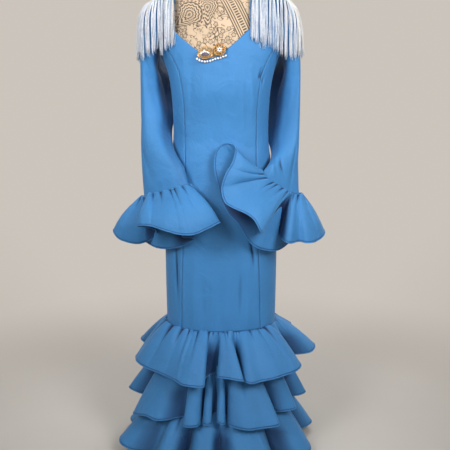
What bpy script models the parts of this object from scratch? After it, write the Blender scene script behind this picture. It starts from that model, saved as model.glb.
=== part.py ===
"""A flamenco dress standing on its limbless dress form.

Metres, +Z up, the front of the dress towards -Y and the wearer's left towards +X.
The origin is the centre of the stand's underside, on the floor.
Each cloth piece is an open sheet, worked out from body sections and fold tables,
that a Solidify modifier turns into a wall.
"""

import math
from collections import namedtuple

import bpy
import numpy as np
from mathutils import Matrix, Vector
from mathutils.bvhtree import BVHTree

# Driving dimensions of the dress
CLOTH = 0.0015            # wall of the crepe
SEAM_GAP = 0.0004         # between two pieces that are sewn together
LAP_GAP = 0.0024          # between the middles of two walls that lie on each other
HEAD_GAP = 0.0018         # between a sleeve's head and the armhole, whose edges curve
SECTION_POWER = 2.25      # roundness of the body's sections: 2 is an ellipse

TIER_SEAM = 0.405         # height of the seam that carries the first flounce
UNDERARM = 1.240
ARMHOLE_SPLIT = 1.265     # where the princess seam meets the armhole
SHOULDER_TIP = 1.375
NECK_BOTTOM = 1.210       # lowest point of the V
NECK_MIDDLE = -0.024      # the neckline sits a little towards the wearer's right
NECK_REACH = 0.107        # from its middle to each shoulder strap
NECK_RISE = (1.36, 1.52)  # steepness of the V's right and left side
NECK_POWER = 1.3
BACK_NECK = 1.335
STRAP_ROWS = 4            # rows of the shoulder part of a panel, from its base to the seam
BACK_STRAP_BASE = 1.362   # where the back's shoulder part starts, at the neckline
BACK_ARM_BASE = 1.340     # and at the armhole


def table(columns, *rows):
    Row = namedtuple("Row", columns)
    return [Row(*row) for row in rows]


BODY = table(
    "height half_width front back",
    (0.405, 0.1705, 0.126, 0.122),
    (0.600, 0.1720, 0.127, 0.130),
    (0.700, 0.1715, 0.126, 0.132),
    (0.800, 0.1660, 0.121, 0.126),
    (0.900, 0.1520, 0.113, 0.111),
    (0.987, 0.1420, 0.106, 0.099),
    (1.060, 0.1430, 0.113, 0.100),
    (1.120, 0.1470, 0.123, 0.106),
    (1.180, 0.1580, 0.121, 0.110),
    (1.240, 0.1800, 0.112, 0.108),
    (1.310, 0.2000, 0.095, 0.098),
    (1.345, 0.2000, 0.084, 0.090),
    (1.375, 0.1880, 0.070, 0.077),
    (1.393, 0.1550, 0.058, 0.064),
    (1.408, 0.1050, 0.048, 0.053),
)

# Half width of the front panel: the princess seam, then the armhole
PRINCESS = table(
    "height reach",
    (0.405, 0.120),
    (0.700, 0.111),
    (0.987, 0.104),
    (1.120, 0.109),
    (1.180, 0.122),
    (1.230, 0.148),
    (1.265, 0.172),
)
ARMHOLE = table(
    "height reach",
    (1.240, 0.180),
    (1.265, 0.172),
    (1.310, 0.168),
    (1.345, 0.174),
    (1.375, 0.188),
)

# A sleeve's rings: its outer and inner edge, and the ways from its middle to its front and
# its back. At the cuff the two ways are opposite, so that its seam is a plain oval.
SLEEVE_POWER = 2.3         # roundness of the rings
SLEEVE_RIGHT = table(
    "outer inner front back",
    ((-0.214, 0.000, 1.352), (-0.184, 0.000, 1.214), (0.000, -0.062), (0.006, 0.062)),
    ((-0.230, 0.000, 1.315), (-0.188, 0.004, 1.188), (0.000, -0.064), (0.018, 0.065)),
    ((-0.234, -0.002, 1.262), (-0.180, 0.016, 1.158), (-0.002, -0.060), (0.036, 0.067)),
    ((-0.233, -0.006, 1.190), (-0.171, 0.026, 1.115), (-0.008, -0.052), (0.050, 0.070)),
    ((-0.233, -0.010, 1.110), (-0.160, 0.014, 1.060), (-0.010, -0.048), (0.046, 0.070)),
    ((-0.233, -0.016, 1.030), (-0.157, -0.026, 1.000), (-0.012, -0.040), (0.025, 0.057)),
    ((-0.232, -0.026, 0.955), (-0.135, -0.090, 0.947), (-0.017, -0.030), (0.008, 0.033)),
    ((-0.230, -0.038, 0.880), (-0.108, -0.123, 0.900), (-0.017, -0.024), (0.014, 0.024)),
    ((-0.227, -0.050, 0.806), (-0.094, -0.138, 0.858), (-0.013, -0.021), (0.013, 0.021)),
)
SLEEVE_LEFT = table(
    "outer inner front back",
    ((0.212, 0.000, 1.348), (0.184, 0.000, 1.212), (0.000, -0.062), (-0.006, 0.062)),
    ((0.224, 0.000, 1.305), (0.188, 0.004, 1.185), (0.000, -0.064), (-0.026, 0.066)),
    ((0.228, -0.004, 1.250), (0.183, 0.016, 1.150), (0.004, -0.062), (-0.050, 0.070)),
    ((0.229, -0.010, 1.180), (0.171, 0.024, 1.105), (0.012, -0.054), (-0.052, 0.074)),
    ((0.229, -0.012, 1.100), (0.163, 0.022, 1.045), (0.015, -0.048), (-0.046, 0.076)),
    ((0.229, -0.016, 1.020), (0.157, 0.008, 0.985), (0.014, -0.044), (-0.038, 0.070)),
    ((0.230, -0.024, 0.950), (0.157, -0.038, 0.945), (0.008, -0.038), (-0.020, 0.050)),
    ((0.232, -0.034, 0.880), (0.142, -0.095, 0.915), (-0.006, -0.030), (0.000, 0.034)),
    ((0.2335, -0.045, 0.812), (0.122, -0.130, 0.892), (-0.013, -0.021), (0.013, 0.021)),
)

CUFF_BOW = 0.012          # how far a cuff flounce swells forward between seam and hem
CUFF_SWELL = 0.012        # and outwards
CUFF_DROP = 0.0006        # its edge lies just below the end of the sleeve
CUFF_STEP = 0.040         # longest step between two columns of a cuff flounce at its hem
CUFF_BLEND = 6 / 340       # share of the hem, each way, over which the seam evens out its folds
EVEN_STEPS = 400           # steps round a hem in which that is worked out

# Hem of a cuff flounce, one row for each crest, turn or hollow of its folds.
# sewn_at is the place on the cuff seam, in degrees: 0 outer, 90 front, 180 inner edge.
CUFF_FOLDS_RIGHT = table(
    "sewn_at x y z",
    (60, -0.238, -0.170, 0.743), (75, -0.198, -0.202, 0.750), (95, -0.150, -0.230, 0.741),
    (115, -0.106, -0.240, 0.733), (135, -0.070, -0.236, 0.734), (155, -0.035, -0.215, 0.746),
    (172, -0.002, -0.185, 0.757), (186, -0.036, -0.168, 0.738), (197, -0.112, -0.160, 0.712),
    (208, -0.078, -0.142, 0.700), (222, -0.112, -0.122, 0.674), (238, -0.152, -0.105, 0.660),
    (255, -0.194, -0.082, 0.658), (275, -0.240, -0.045, 0.675), (300, -0.290, -0.010, 0.703),
    (330, -0.318, -0.022, 0.708), (350, -0.324, -0.052, 0.702), (370, -0.300, -0.080, 0.682),
    (388, -0.256, -0.090, 0.672), (398, -0.226, -0.084, 0.676), (406, -0.196, -0.076, 0.694),
    (413, -0.190, -0.104, 0.716), (418, -0.212, -0.138, 0.732),
)
CUFF_FOLDS_LEFT = table(
    "sewn_at x y z",
    (62, 0.113, -0.240, 0.738), (75, 0.094, -0.242, 0.773), (88, 0.070, -0.238, 0.792),
    (102, 0.029, -0.228, 0.809), (112, 0.010, -0.218, 0.824), (125, 0.003, -0.205, 0.858),
    (138, 0.015, -0.198, 0.897), (150, 0.032, -0.186, 0.925), (163, 0.041, -0.170, 0.960),
    (174, 0.027, -0.152, 0.974), (184, 0.007, -0.140, 0.973), (193, -0.013, -0.136, 0.953),
    (203, -0.018, -0.138, 0.905), (214, -0.005, -0.146, 0.849), (225, 0.007, -0.154, 0.806),
    (234, 0.024, -0.160, 0.776), (243, 0.050, -0.162, 0.749), (253, 0.086, -0.152, 0.690),
    (264, 0.125, -0.132, 0.664), (278, 0.177, -0.098, 0.657), (305, 0.250, -0.010, 0.690),
    (335, 0.306, -0.015, 0.702), (350, 0.315, -0.050, 0.695), (361, 0.283, -0.108, 0.684),
    (371, 0.252, -0.134, 0.685), (380, 0.229, -0.128, 0.688), (391, 0.202, -0.160, 0.690),
    (399, 0.183, -0.156, 0.696), (406, 0.170, -0.110, 0.706), (411, 0.152, -0.082, 0.716),
    (416, 0.133, -0.112, 0.724), (420, 0.123, -0.180, 0.732),
)

# Hem of a skirt tier: turn is in degrees from the front towards the wearer's left
TIER_1_FOLDS = table(
    "turn reach height",
    (-14.0, 0.206, 0.284), (-12.5, 0.176, 0.286), (-8.0, 0.158, 0.288), (-3.0, 0.147, 0.289),
    (0.5, 0.150, 0.291), (-2.2, 0.180, 0.293), (-3.2, 0.199, 0.295), (-0.6, 0.211, 0.297),
    (5.6, 0.219, 0.297), (10.5, 0.229, 0.296), (15.8, 0.236, 0.294), (17.0, 0.222, 0.292),
    (14.9, 0.188, 0.290), (16.0, 0.160, 0.288), (18.6, 0.159, 0.287), (17.4, 0.192, 0.286),
    (18.6, 0.224, 0.285), (22.5, 0.240, 0.283), (30.0, 0.237, 0.283), (39.0, 0.246, 0.284),
    (47.0, 0.252, 0.285), (59.0, 0.268, 0.287), (70.0, 0.262, 0.290), (77.5, 0.226, 0.296),
    (81.5, 0.206, 0.299), (83.5, 0.240, 0.294), (91.0, 0.292, 0.290), (101.0, 0.314, 0.295),
    (109.0, 0.288, 0.300), (113.0, 0.228, 0.305), (118.0, 0.202, 0.308), (122.0, 0.250, 0.310),
    (130.0, 0.316, 0.318), (139.0, 0.288, 0.308), (143.0, 0.220, 0.302), (149.0, 0.178, 0.298),
    (153.0, 0.225, 0.296), (163.0, 0.290, 0.290), (175.0, 0.270, 0.290), (179.0, 0.205, 0.292),
    (185.0, 0.164, 0.294), (189.0, 0.215, 0.291), (198.0, 0.292, 0.288), (209.0, 0.274, 0.290),
    (213.0, 0.215, 0.293), (218.0, 0.178, 0.295), (222.0, 0.232, 0.292), (232.0, 0.304, 0.290),
    (245.5, 0.299, 0.290), (254.0, 0.255, 0.291), (261.0, 0.212, 0.293), (265.0, 0.240, 0.289),
    (272.0, 0.268, 0.286), (280.0, 0.272, 0.284), (289.0, 0.262, 0.283), (298.0, 0.249, 0.283),
    (307.0, 0.237, 0.283), (317.5, 0.234, 0.282), (327.0, 0.240, 0.281), (334.0, 0.252, 0.280),
    (341.0, 0.251, 0.280), (347.8, 0.243, 0.280),
)
TIER_2_FOLDS = table(
    "turn reach height",
    (-38.0, 0.216, 0.150), (-34.0, 0.201, 0.150), (-31.0, 0.212, 0.147), (-27.0, 0.236, 0.142),
    (-20.5, 0.230, 0.142), (-17.5, 0.212, 0.145), (-18.4, 0.188, 0.149), (-16.6, 0.172, 0.155),
    (-14.4, 0.172, 0.155), (-15.6, 0.190, 0.150), (-15.0, 0.206, 0.146), (-11.5, 0.214, 0.145),
    (-8.0, 0.206, 0.147), (-9.6, 0.186, 0.151), (-8.6, 0.166, 0.157), (-4.6, 0.162, 0.158),
    (-0.6, 0.168, 0.158), (-2.4, 0.186, 0.156), (-3.2, 0.204, 0.155), (0.2, 0.214, 0.150),
    (3.6, 0.206, 0.147), (2.6, 0.188, 0.150), (4.2, 0.172, 0.155), (6.6, 0.172, 0.155),
    (5.8, 0.190, 0.150), (7.0, 0.211, 0.146), (9.8, 0.221, 0.144), (14.5, 0.231, 0.141),
    (20.3, 0.244, 0.139), (27.0, 0.250, 0.140), (39.5, 0.268, 0.141), (42.5, 0.256, 0.144),
    (40.8, 0.222, 0.150), (43.5, 0.198, 0.155), (48.5, 0.201, 0.156), (52.0, 0.232, 0.155),
    (62.0, 0.262, 0.156), (69.0, 0.234, 0.162), (73.5, 0.212, 0.165), (78.0, 0.250, 0.165),
    (86.0, 0.274, 0.163), (95.0, 0.250, 0.159), (102.0, 0.210, 0.158), (109.0, 0.258, 0.153),
    (119.0, 0.292, 0.150), (128.0, 0.262, 0.152), (136.0, 0.188, 0.156), (143.0, 0.245, 0.151),
    (155.0, 0.292, 0.147), (166.0, 0.264, 0.150), (173.0, 0.182, 0.155), (180.0, 0.240, 0.151),
    (192.0, 0.290, 0.147), (203.0, 0.262, 0.150), (210.0, 0.184, 0.156), (217.0, 0.248, 0.152),
    (229.0, 0.296, 0.149), (239.0, 0.262, 0.152), (246.0, 0.208, 0.157), (253.0, 0.250, 0.161),
    (267.0, 0.302, 0.165), (276.0, 0.268, 0.163), (281.0, 0.228, 0.157), (288.0, 0.288, 0.129),
    (295.0, 0.290, 0.134), (304.0, 0.279, 0.148), (313.0, 0.268, 0.147), (318.5, 0.240, 0.148),
)
TIER_3_FOLDS = table(
    "turn reach height",
    (-30.0, 0.222, 0.031), (-27.0, 0.212, 0.032), (-24.0, 0.250, 0.027), (-17.0, 0.286, 0.023),
    (-8.0, 0.284, 0.024), (-4.0, 0.236, 0.030), (-0.5, 0.206, 0.034), (3.0, 0.240, 0.029),
    (10.0, 0.286, 0.024), (20.0, 0.302, 0.023), (31.0, 0.300, 0.024), (38.0, 0.262, 0.028),
    (42.0, 0.212, 0.034), (46.0, 0.240, 0.030), (54.0, 0.298, 0.025), (64.0, 0.310, 0.024),
    (74.0, 0.280, 0.027), (79.0, 0.228, 0.033), (84.0, 0.222, 0.034), (89.0, 0.272, 0.028),
    (99.0, 0.308, 0.024), (110.0, 0.288, 0.026), (116.0, 0.232, 0.032), (121.0, 0.212, 0.034),
    (126.0, 0.262, 0.028), (137.0, 0.310, 0.023), (148.0, 0.290, 0.025), (154.0, 0.226, 0.032),
    (159.0, 0.206, 0.034), (164.0, 0.262, 0.028), (176.0, 0.312, 0.023), (188.0, 0.290, 0.025),
    (194.0, 0.226, 0.032), (199.0, 0.206, 0.034), (204.0, 0.262, 0.028), (215.0, 0.310, 0.023),
    (227.0, 0.288, 0.025), (233.0, 0.230, 0.032), (238.0, 0.212, 0.034), (243.0, 0.264, 0.029),
    (254.0, 0.316, 0.025), (265.0, 0.296, 0.029), (271.0, 0.248, 0.038), (276.0, 0.252, 0.042),
    (283.0, 0.320, 0.044), (291.0, 0.338, 0.037), (299.0, 0.312, 0.031), (306.0, 0.272, 0.029),
    (312.0, 0.274, 0.027), (321.0, 0.300, 0.024), (327.0, 0.270, 0.027),
)
TIER_SPREAD = 0.85         # below 1 a flounce swells out just under its seam
TIER_FALL = 1.15           # above 1 it starts nearly level
TIER_BLEND = 6 / 76        # share of the hem, each way, over which the seam evens out its folds
TIER_STEP = 0.046          # longest step between two columns of a tier at its hem
TIER_DROP = 0.0015         # the first flounce hangs just below the panels

TIERS = table(
    "name seam folds",
    ("tier_1", TIER_SEAM, TIER_1_FOLDS),
    ("tier_2", 0.302, TIER_2_FOLDS),
    ("tier_3", 0.158, TIER_3_FOLDS),
)

# The plain skirt under the flounces, which carries the second and third of them
BASE_SKIRT_ROWS = (0.401, 0.345, 0.285, 0.220, 0.154)
BASE_SKIRT = table(
    "height half_width front back",
    (0.154, 0.1950, 0.150, 0.150),
    (0.300, 0.1780, 0.134, 0.132),
    (0.401, 0.1675, 0.123, 0.119),
)

# Heights of the rows of every panel, along the princess seam
PANEL_ROWS = [0.405, 0.500, 0.600, 0.700, 0.800, 0.900, 0.987, 1.060, 1.120, 1.180, 1.230, 1.265]

# Fringe: a curtain that hangs round each shoulder, one row for each of its uprights.
# x is its place on the shoulder, facing the way it looks (0 front, 90 outwards, 180
# back), and bottom the height where the strands end.
FRINGE_RIGHT = table(
    "x facing bottom",
    (-0.131, 0, 1.240),
    (-0.160, 0, 1.232),
    (-0.186, 8, 1.222),
    (-0.186, 35, 1.214),
    (-0.186, 62, 1.208),
    (-0.186, 90, 1.206),
    (-0.186, 118, 1.208),
    (-0.186, 145, 1.214),
    (-0.186, 172, 1.222),
    (-0.160, 180, 1.234),
    (-0.131, 180, 1.244),
)
FRINGE_LEFT = table(
    "x facing bottom",
    (0.087, 0, 1.266),
    (0.118, 0, 1.246),
    (0.150, 0, 1.232),
    (0.182, 8, 1.216),
    (0.182, 35, 1.214),
    (0.182, 62, 1.222),
    (0.182, 90, 1.234),
    (0.182, 118, 1.226),
    (0.182, 145, 1.218),
    (0.182, 172, 1.222),
    (0.150, 180, 1.234),
    (0.118, 180, 1.246),
    (0.092, 180, 1.260),
)
FRINGE_WALL = 0.005
FRINGE_STANDS_OFF = 0.0065   # middle of the fringe from the cloth under it
FRINGE_TOP = 0.008           # its top below the shoulder seam
FRINGE_SHOULDER_DROP = 0.012  # and how much lower still where it faces outwards
FRINGE_LEVELS = 7            # points down each upright
FRINGE_CROWDING = 1.6        # above 1 they lie closer together near the top
FRINGE_PROBES = 7            # heights looked at between two of them
FRINGE_FANS = (-16, -8, 0, 8, 16)   # directions looked along for what the strands cross
FAR_OUT = 0.3                # a place outside everything, as seen from the shoulder

# Braid that carries the fringe, along the shoulder seam
BRAID_WALL = 0.003
BRAID_HALF_WIDTH = 0.0085
BRAID_LIFT = (0.0035, 0.0055)    # its edges and its middle above the seam
BRAID_OVERHANG = 0.020           # past the tip of the shoulder
BRAID_SLOPE = 0.55

# Dress form and stand
FORM_CLEARANCE = 0.0048    # cloth middle to the form's cover
FORM_BOTTOM = 0.600
FORM_EDGE = 0.012          # how much the rim under the hips turns in
FORM_RINGS = [0.640, 0.72, 0.80, 0.88, 0.95, 1.02, 1.08, 1.13, 1.18, 1.24, 1.30, 1.34, 1.37]
FORM_SHOULDER = table(  # its own half width, where the cloth stands away from it
    "height reach",
    (1.130, 0.1435),
    (1.180, 0.1480),
    (1.240, 0.1540),
    (1.300, 0.1560),
    (1.340, 0.1520),
    (1.370, 0.1400),
)
NECK = table(
    "height half_width half_depth",
    (1.384, 0.118, 0.050),
    (1.400, 0.080, 0.047),
    (1.430, 0.061, 0.053),
    (1.480, 0.056, 0.054),
)
CAP_PROFILE = [(0.0, 0.0), (0.053, 0.0), (0.056, 0.003), (0.056, 0.010), (0.045, 0.017),
               (0.014, 0.021), (0.011, 0.030), (0.019, 0.040), (0.016, 0.052), (0.0, 0.056)]
POLE_RADIUS = 0.0125
BASE_PROFILE = [(0.0, 0.0), (0.185, 0.0), (0.190, 0.005), (0.188, 0.012), (0.150, 0.018),
                (0.060, 0.026), (0.030, 0.034), (0.0, 0.034)]
TOUCH = 0.0003             # gap between hard pieces that meet

# Zip slider and its pull tab at the top of the back seam
SLIDER_MIDDLE = 1.322
SLIDER_SIZE = (0.0070, 0.0030, 0.0095)
BRIDGE_WIDTH = 0.0020
BRIDGE_HOLLOW = (0.0022, 0.0040)    # depth and height of the space under the bridge
BRIDGE_BAR = 0.0010
BRIDGE_SINK = 0.0005                # how deep its feet go into the slider
TAB_SIZE = (0.0060, 0.0010, 0.0240)
TAB_BAR = 0.0010
TAB_WINDOW = (0.0034, 0.0052)

# Brooch at the bottom of the V: an open loop, a rosette and a string of pearls
BROOCH_Y = -0.1225
LOOP_MIDDLE = (-0.0432, 1.2212)
LOOP_RADII = (0.0205, 0.0128)
LOOP_BAR = 0.0020
ROSETTE_MIDDLE = (-0.0028, 1.2330)
ROSETTE_RADIUS = 0.0174
ROSETTE_PROFILE = [(1.0, 0.0018), (1.0, -0.0006), (0.70, -0.0026), (0.34, -0.0036)]
ROSETTE_CROWN = -0.0040
PEARL_RADIUS = 0.0028
PEARL_STRING = table(
    "x z",
    (-0.0655, 1.2080),
    (-0.0560, 1.2022),
    (-0.0430, 1.1998),
    (-0.0300, 1.2016),
    (-0.0160, 1.2070),
    (0.0020, 1.2110),
    (0.0180, 1.2180),
)

BLUE = (0.055, 0.215, 0.545)
ZIP_BLUE = (0.05, 0.19, 0.45)
WHITE = (0.86, 0.88, 0.92)
CREAM = (0.72, 0.66, 0.54)
GOLD = (0.80, 0.56, 0.24)
PEARL_WHITE = (0.92, 0.90, 0.86)
BLACK = (0.02, 0.02, 0.022)


def material(name, colour, roughness, metallic=0.0):
    found = bpy.data.materials.get(name)
    if found:
        return found
    made = bpy.data.materials.new(name)
    made.use_nodes = True
    shader = made.node_tree.nodes["Principled BSDF"]
    shader.inputs["Base Color"].default_value = (*colour, 1.0)
    shader.inputs["Roughness"].default_value = roughness
    shader.inputs["Metallic"].default_value = metallic
    made.diffuse_color = (*colour, 1.0)
    return made


def add_mesh(name, points, faces, finish):
    mesh = bpy.data.meshes.new(name)
    mesh.from_pydata([tuple(float(v) for v in p) for p in points], [], faces)
    mesh.materials.append(finish)
    mesh.shade_smooth()
    obj = bpy.data.objects.new(name, mesh)
    bpy.context.scene.collection.objects.link(obj)
    return obj


def column(rows, key, height):
    """One column of a table at a height, as a smooth curve through its rows."""
    heights = [row.height for row in rows]
    values = [getattr(row, key) for row in rows]
    slopes = np.gradient(values, heights)
    height = min(max(height, heights[0]), heights[-1])
    i = min(int(np.searchsorted(heights, height, side="right")) - 1, len(rows) - 2)
    span = heights[i + 1] - heights[i]
    u = (height - heights[i]) / span
    return (
        values[i] * (1 + 2 * u) * (1 - u) ** 2
        + slopes[i] * span * u * (1 - u) ** 2
        + values[i + 1] * u * u * (3 - 2 * u)
        - slopes[i + 1] * span * u * u * (1 - u)
    )


def body_y(x, height, side):
    """Depth of the cloth at a width: side is -1 on the front and 1 on the back."""
    half = column(BODY, "half_width", height)
    deep = column(BODY, "front" if side < 0 else "back", height)
    share = min(abs(x) / half, 1.0) ** SECTION_POWER
    return side * deep * (1 - share) ** (1 / SECTION_POWER)


def oval(half_width, front, back, degrees):
    """Point of a body section: 0 degrees is the front, 90 the wearer's left."""
    s, c = math.sin(math.radians(degrees)), math.cos(math.radians(degrees))
    deep = front if c > 0 else back
    x = math.copysign(abs(s) ** (2 / SECTION_POWER), s) * half_width
    y = -math.copysign(abs(c) ** (2 / SECTION_POWER), c) * deep
    return x, y


def front_edge(height):
    if height <= ARMHOLE_SPLIT:
        return column(PRINCESS, "reach", height)
    return column(ARMHOLE, "reach", height)


def grid_faces(rows, columns, wrap=False):
    faces = []
    for i in range(rows - 1):
        for j in range(columns if wrap else columns - 1):
            k = (j + 1) % columns
            faces.append((i * columns + j, i * columns + k, (i + 1) * columns + k,
                          (i + 1) * columns + j))
    return faces


def cloth(name, grids, finish, wrap=False, wall=CLOTH, flip=False):
    """A cloth piece from point grids, each a list of rows, welded where they meet."""
    points, faces = [], []
    for grid in grids:
        rows, columns = len(grid), len(grid[0])
        start = len(points)
        points += [p for row in grid for p in row]
        faces += [tuple(start + i for i in face) for face in grid_faces(rows, columns, wrap)]
    index, kept, where = {}, [], []
    for p in points:
        key = tuple(round(float(v) * 1e5) for v in p)
        if key not in index:
            index[key] = len(kept)
            kept.append(p)
        where.append(index[key])
    welded = []
    for face in faces:
        corners = list(dict.fromkeys(where[i] for i in face))
        if len(corners) > 2:
            welded.append(tuple(reversed(corners)) if flip else tuple(corners))
    obj = add_mesh(name, kept, welded, finish)
    solid = obj.modifiers.new("wall", "SOLIDIFY")
    solid.thickness = wall
    solid.offset = 0.0
    solid.use_even_offset = False
    solid.use_rim = True
    return obj


def neck_height(x):
    """Height of the V neckline at a width."""
    side = 0 if x < NECK_MIDDLE else 1
    away = min(abs(x - NECK_MIDDLE), NECK_REACH)
    return NECK_BOTTOM + NECK_RISE[side] * away**NECK_POWER


def ridge_height(x):
    """Height of the shoulder seam at a width."""
    low, high = SHOULDER_TIP, BODY[-1].height
    for _ in range(30):
        middle = (low + high) / 2
        if column(BODY, "half_width", middle) > abs(x):
            low = middle
        else:
            high = middle
    return low


def coons(bottom, top, left, right):
    """Rows of a patch spanned between four edges, each a list of points."""
    bottom, top, left, right = (np.array(e, float) for e in (bottom, top, left, right))
    rows = []
    for i in range(len(left)):
        v = i / (len(left) - 1)
        row = []
        for j in range(len(bottom)):
            u = j / (len(bottom) - 1)
            corners = (
                (1 - u) * (1 - v) * bottom[0] + u * (1 - v) * bottom[-1]
                + (1 - u) * v * top[0] + u * v * top[-1]
            )
            row.append((1 - v) * bottom[j] + v * top[j] + (1 - u) * left[i] + u * right[i] - corners)
        rows.append(row)
    return rows


def strap(base, neck_x, side):
    """The shoulder part above a row of points that runs from the neckline to the armhole."""
    neck, arm, ridge = [], [], []
    sign = math.copysign(1, base[-1][0])
    neck_top = ridge_height(neck_x)
    for i in range(STRAP_ROWS + 1):
        v = 1 - (1 - i / STRAP_ROWS) ** 2
        height = base[0][2] + (neck_top - base[0][2]) * v
        neck.append((neck_x, body_y(neck_x, height, side), height))
        height = base[-1][2] + (SHOULDER_TIP - base[-1][2]) * v
        x = sign * column(ARMHOLE, "reach", height)
        arm.append((x, body_y(x, height, side), height))
    tip_x = sign * ARMHOLE[-1].reach
    for j in range(len(base)):
        x = neck_x + (tip_x - neck_x) * j / (len(base) - 1)
        ridge.append((x, side * SEAM_GAP, ridge_height(x)))
    neck[0], arm[0] = base[0], base[-1]
    neck[-1], arm[-1] = ridge[0], ridge[-1]
    return coons(base, ridge, neck, arm)


def row_height(row, top):
    """Height of a panel's row where its column ends at top."""
    low, high = PANEL_ROWS[0], PANEL_ROWS[-1]
    return low + (PANEL_ROWS[row] - low) * (top - low) / (high - low)


def front_centre(finish):
    middle_cells, strap_cells = 10, 3
    neck = [NECK_MIDDLE - NECK_REACH, NECK_MIDDLE + NECK_REACH]
    shares = [x / front_edge(neck_height(x)) for x in neck]
    steps = list(np.linspace(-1, shares[0], strap_cells + 1))
    steps += list(np.linspace(shares[0], shares[1], middle_cells + 1))[1:]
    steps += list(np.linspace(shares[1], 1, strap_cells + 1))[1:]
    tops = []
    for j, share in enumerate(steps):
        top = neck_height(share * front_edge(SHOULDER_TIP))
        for _ in range(6):
            top = neck_height(share * front_edge(top))
        out = max(strap_cells - j, j - strap_cells - middle_cells, 0) / strap_cells
        tops.append(top + (ARMHOLE_SPLIT - top) * out)
    grid = []
    for i in range(len(PANEL_ROWS)):
        row = []
        for share, top in zip(steps, tops):
            height = row_height(i, top)
            x = share * (front_edge(height) - SEAM_GAP / 2)
            row.append((x, body_y(x, height, -1), height))
        grid.append(row)
    top = grid[-1]
    right = strap(top[strap_cells::-1], top[strap_cells][0], -1)
    left = strap(top[-strap_cells - 1:], top[-strap_cells - 1][0], -1)
    right = [row[::-1] for row in right]
    return cloth("front_centre", [grid, right, left], finish)


def section_degrees(x, height):
    """Where a width lies on the front half of its section."""
    half = column(BODY, "half_width", height)
    return math.degrees(math.asin(min(x / half, 1.0) ** (SECTION_POWER / 2)))


def body_point(degrees, height):
    row = [column(BODY, key, height) for key in ("half_width", "front", "back")]
    x, y = oval(*row, degrees)
    return x, y, height


def front_side(name, sign, finish):
    columns = 4
    grid = []
    for i in range(len(PANEL_ROWS)):
        row = []
        for j in range(columns + 1):
            share = j / columns
            height = row_height(i, ARMHOLE_SPLIT + (UNDERARM - ARMHOLE_SPLIT) * share)
            reach = column(PRINCESS, "reach", height) + SEAM_GAP / 2
            start = section_degrees(reach, height)
            x, y, z = body_point(start + (90 - start) * share, height)
            row.append((sign * x, y - SEAM_GAP / 2 * share, z))
        grid.append(row)
    return cloth(name, [grid], finish, flip=sign < 0)


def back_panel(name, sign, finish):
    """From the zip to the side seam, with the back of the shoulder above it."""
    middle_cells, strap_cells = 3, 3
    neck_x = abs(NECK_MIDDLE + sign * NECK_REACH)
    neck_share = section_degrees(neck_x, BACK_STRAP_BASE) / section_degrees(
        column(ARMHOLE, "reach", BACK_STRAP_BASE), BACK_STRAP_BASE)
    grid = []
    for i in range(len(PANEL_ROWS)):
        row = []
        for j in range(middle_cells + strap_cells + 1):
            inner, outer = min(j / middle_cells, 1), max(j - middle_cells, 0) / strap_cells
            share = neck_share * inner + (1 - neck_share) * outer
            top = BACK_NECK + (BACK_STRAP_BASE - BACK_NECK) * inner**2
            top += (BACK_ARM_BASE - BACK_STRAP_BASE) * outer
            height = row_height(i, top)
            edge = 90
            if height > UNDERARM:
                edge = section_degrees(column(ARMHOLE, "reach", height), height)
            x, y, z = body_point(180 - edge * share, height)
            row.append((sign * max(x, SEAM_GAP / 2), y + SEAM_GAP / 2 * share, z))
        grid.append(row)
    base = grid[-1][middle_cells:]
    above = strap(base, base[0][0], 1)
    return cloth(name, [grid, above], finish, flip=sign > 0)


def armhole(degrees, sign):
    """Point of the armhole: 0 degrees is the shoulder tip, 90 its front, 180 the underarm."""
    turn = math.radians(degrees)
    middle, half = (SHOULDER_TIP + UNDERARM) / 2, (SHOULDER_TIP - UNDERARM) / 2
    height = middle + half * math.cos(turn)
    side = -1 if math.sin(turn) >= 0 else 1
    x = column(ARMHOLE, "reach", height)
    return np.array((sign * x, body_y(x, height, side), height))


def signed_power(value):
    return math.copysign(abs(value) ** (2 / SLEEVE_POWER), value)


def ring_point(row, degrees):
    """Point of a sleeve's ring: 0 degrees is its outer edge, 90 its front, 180 the inner."""
    turn = math.radians(degrees)
    outer, inner = np.array(row.outer), np.array(row.inner)
    middle, half = (outer + inner) / 2, (outer - inner) / 2
    c, s = signed_power(math.cos(turn)), signed_power(math.sin(turn))
    way = np.array((*(row.front if s >= 0 else row.back), 0.0))
    return middle + half * c + way * abs(s)


def ring_way_out(row, degrees):
    """Level direction that points straight out of a sleeve's ring."""
    along = ring_point(row, degrees + 3) - ring_point(row, degrees - 3)
    out = np.array((along[1], -along[0], 0.0))
    middle = (np.array(row.outer) + np.array(row.inner)) / 2
    if out @ (ring_point(row, degrees) - middle) < 0:
        out = -out
    return out / np.linalg.norm(out)


def sleeve(name, rows, sign, finish):
    columns = 16
    head = []
    for j in range(columns):
        degrees = 360 * j / columns
        step = HEAD_GAP + LAP_GAP * (0.5 - 0.5 * math.cos(math.radians(degrees))) ** 2
        head.append(armhole(degrees, sign) + np.array((sign * step, 0, 0)))
    grid = [head]
    for row in rows:
        grid.append([ring_point(row, 360 * j / columns) for j in range(columns)])
    return cloth(name, [grid], finish, wrap=True, flip=sign > 0)


def closed_curve(points, step):
    """Columns of a hem on a smooth closed curve: one at each table row, and more between
    rows that are further apart than a step. Gives the table place of each as well."""
    points = np.array(points, float)
    size, curve, places = len(points), [], []
    for i in range(size):
        a, b, c, d = (points[(i + k) % size] for k in (-1, 0, 1, 2))
        cells = math.ceil(np.linalg.norm(c - b) / step)
        for u in np.arange(cells) / cells:
            curve.append(0.5 * (2 * b + (c - a) * u + (2 * a - 5 * b + 4 * c - d) * u * u
                                + (3 * b - a - 3 * c + d) * u**3))
            places.append(i + u)
    return np.array(curve), np.array(places)


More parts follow.
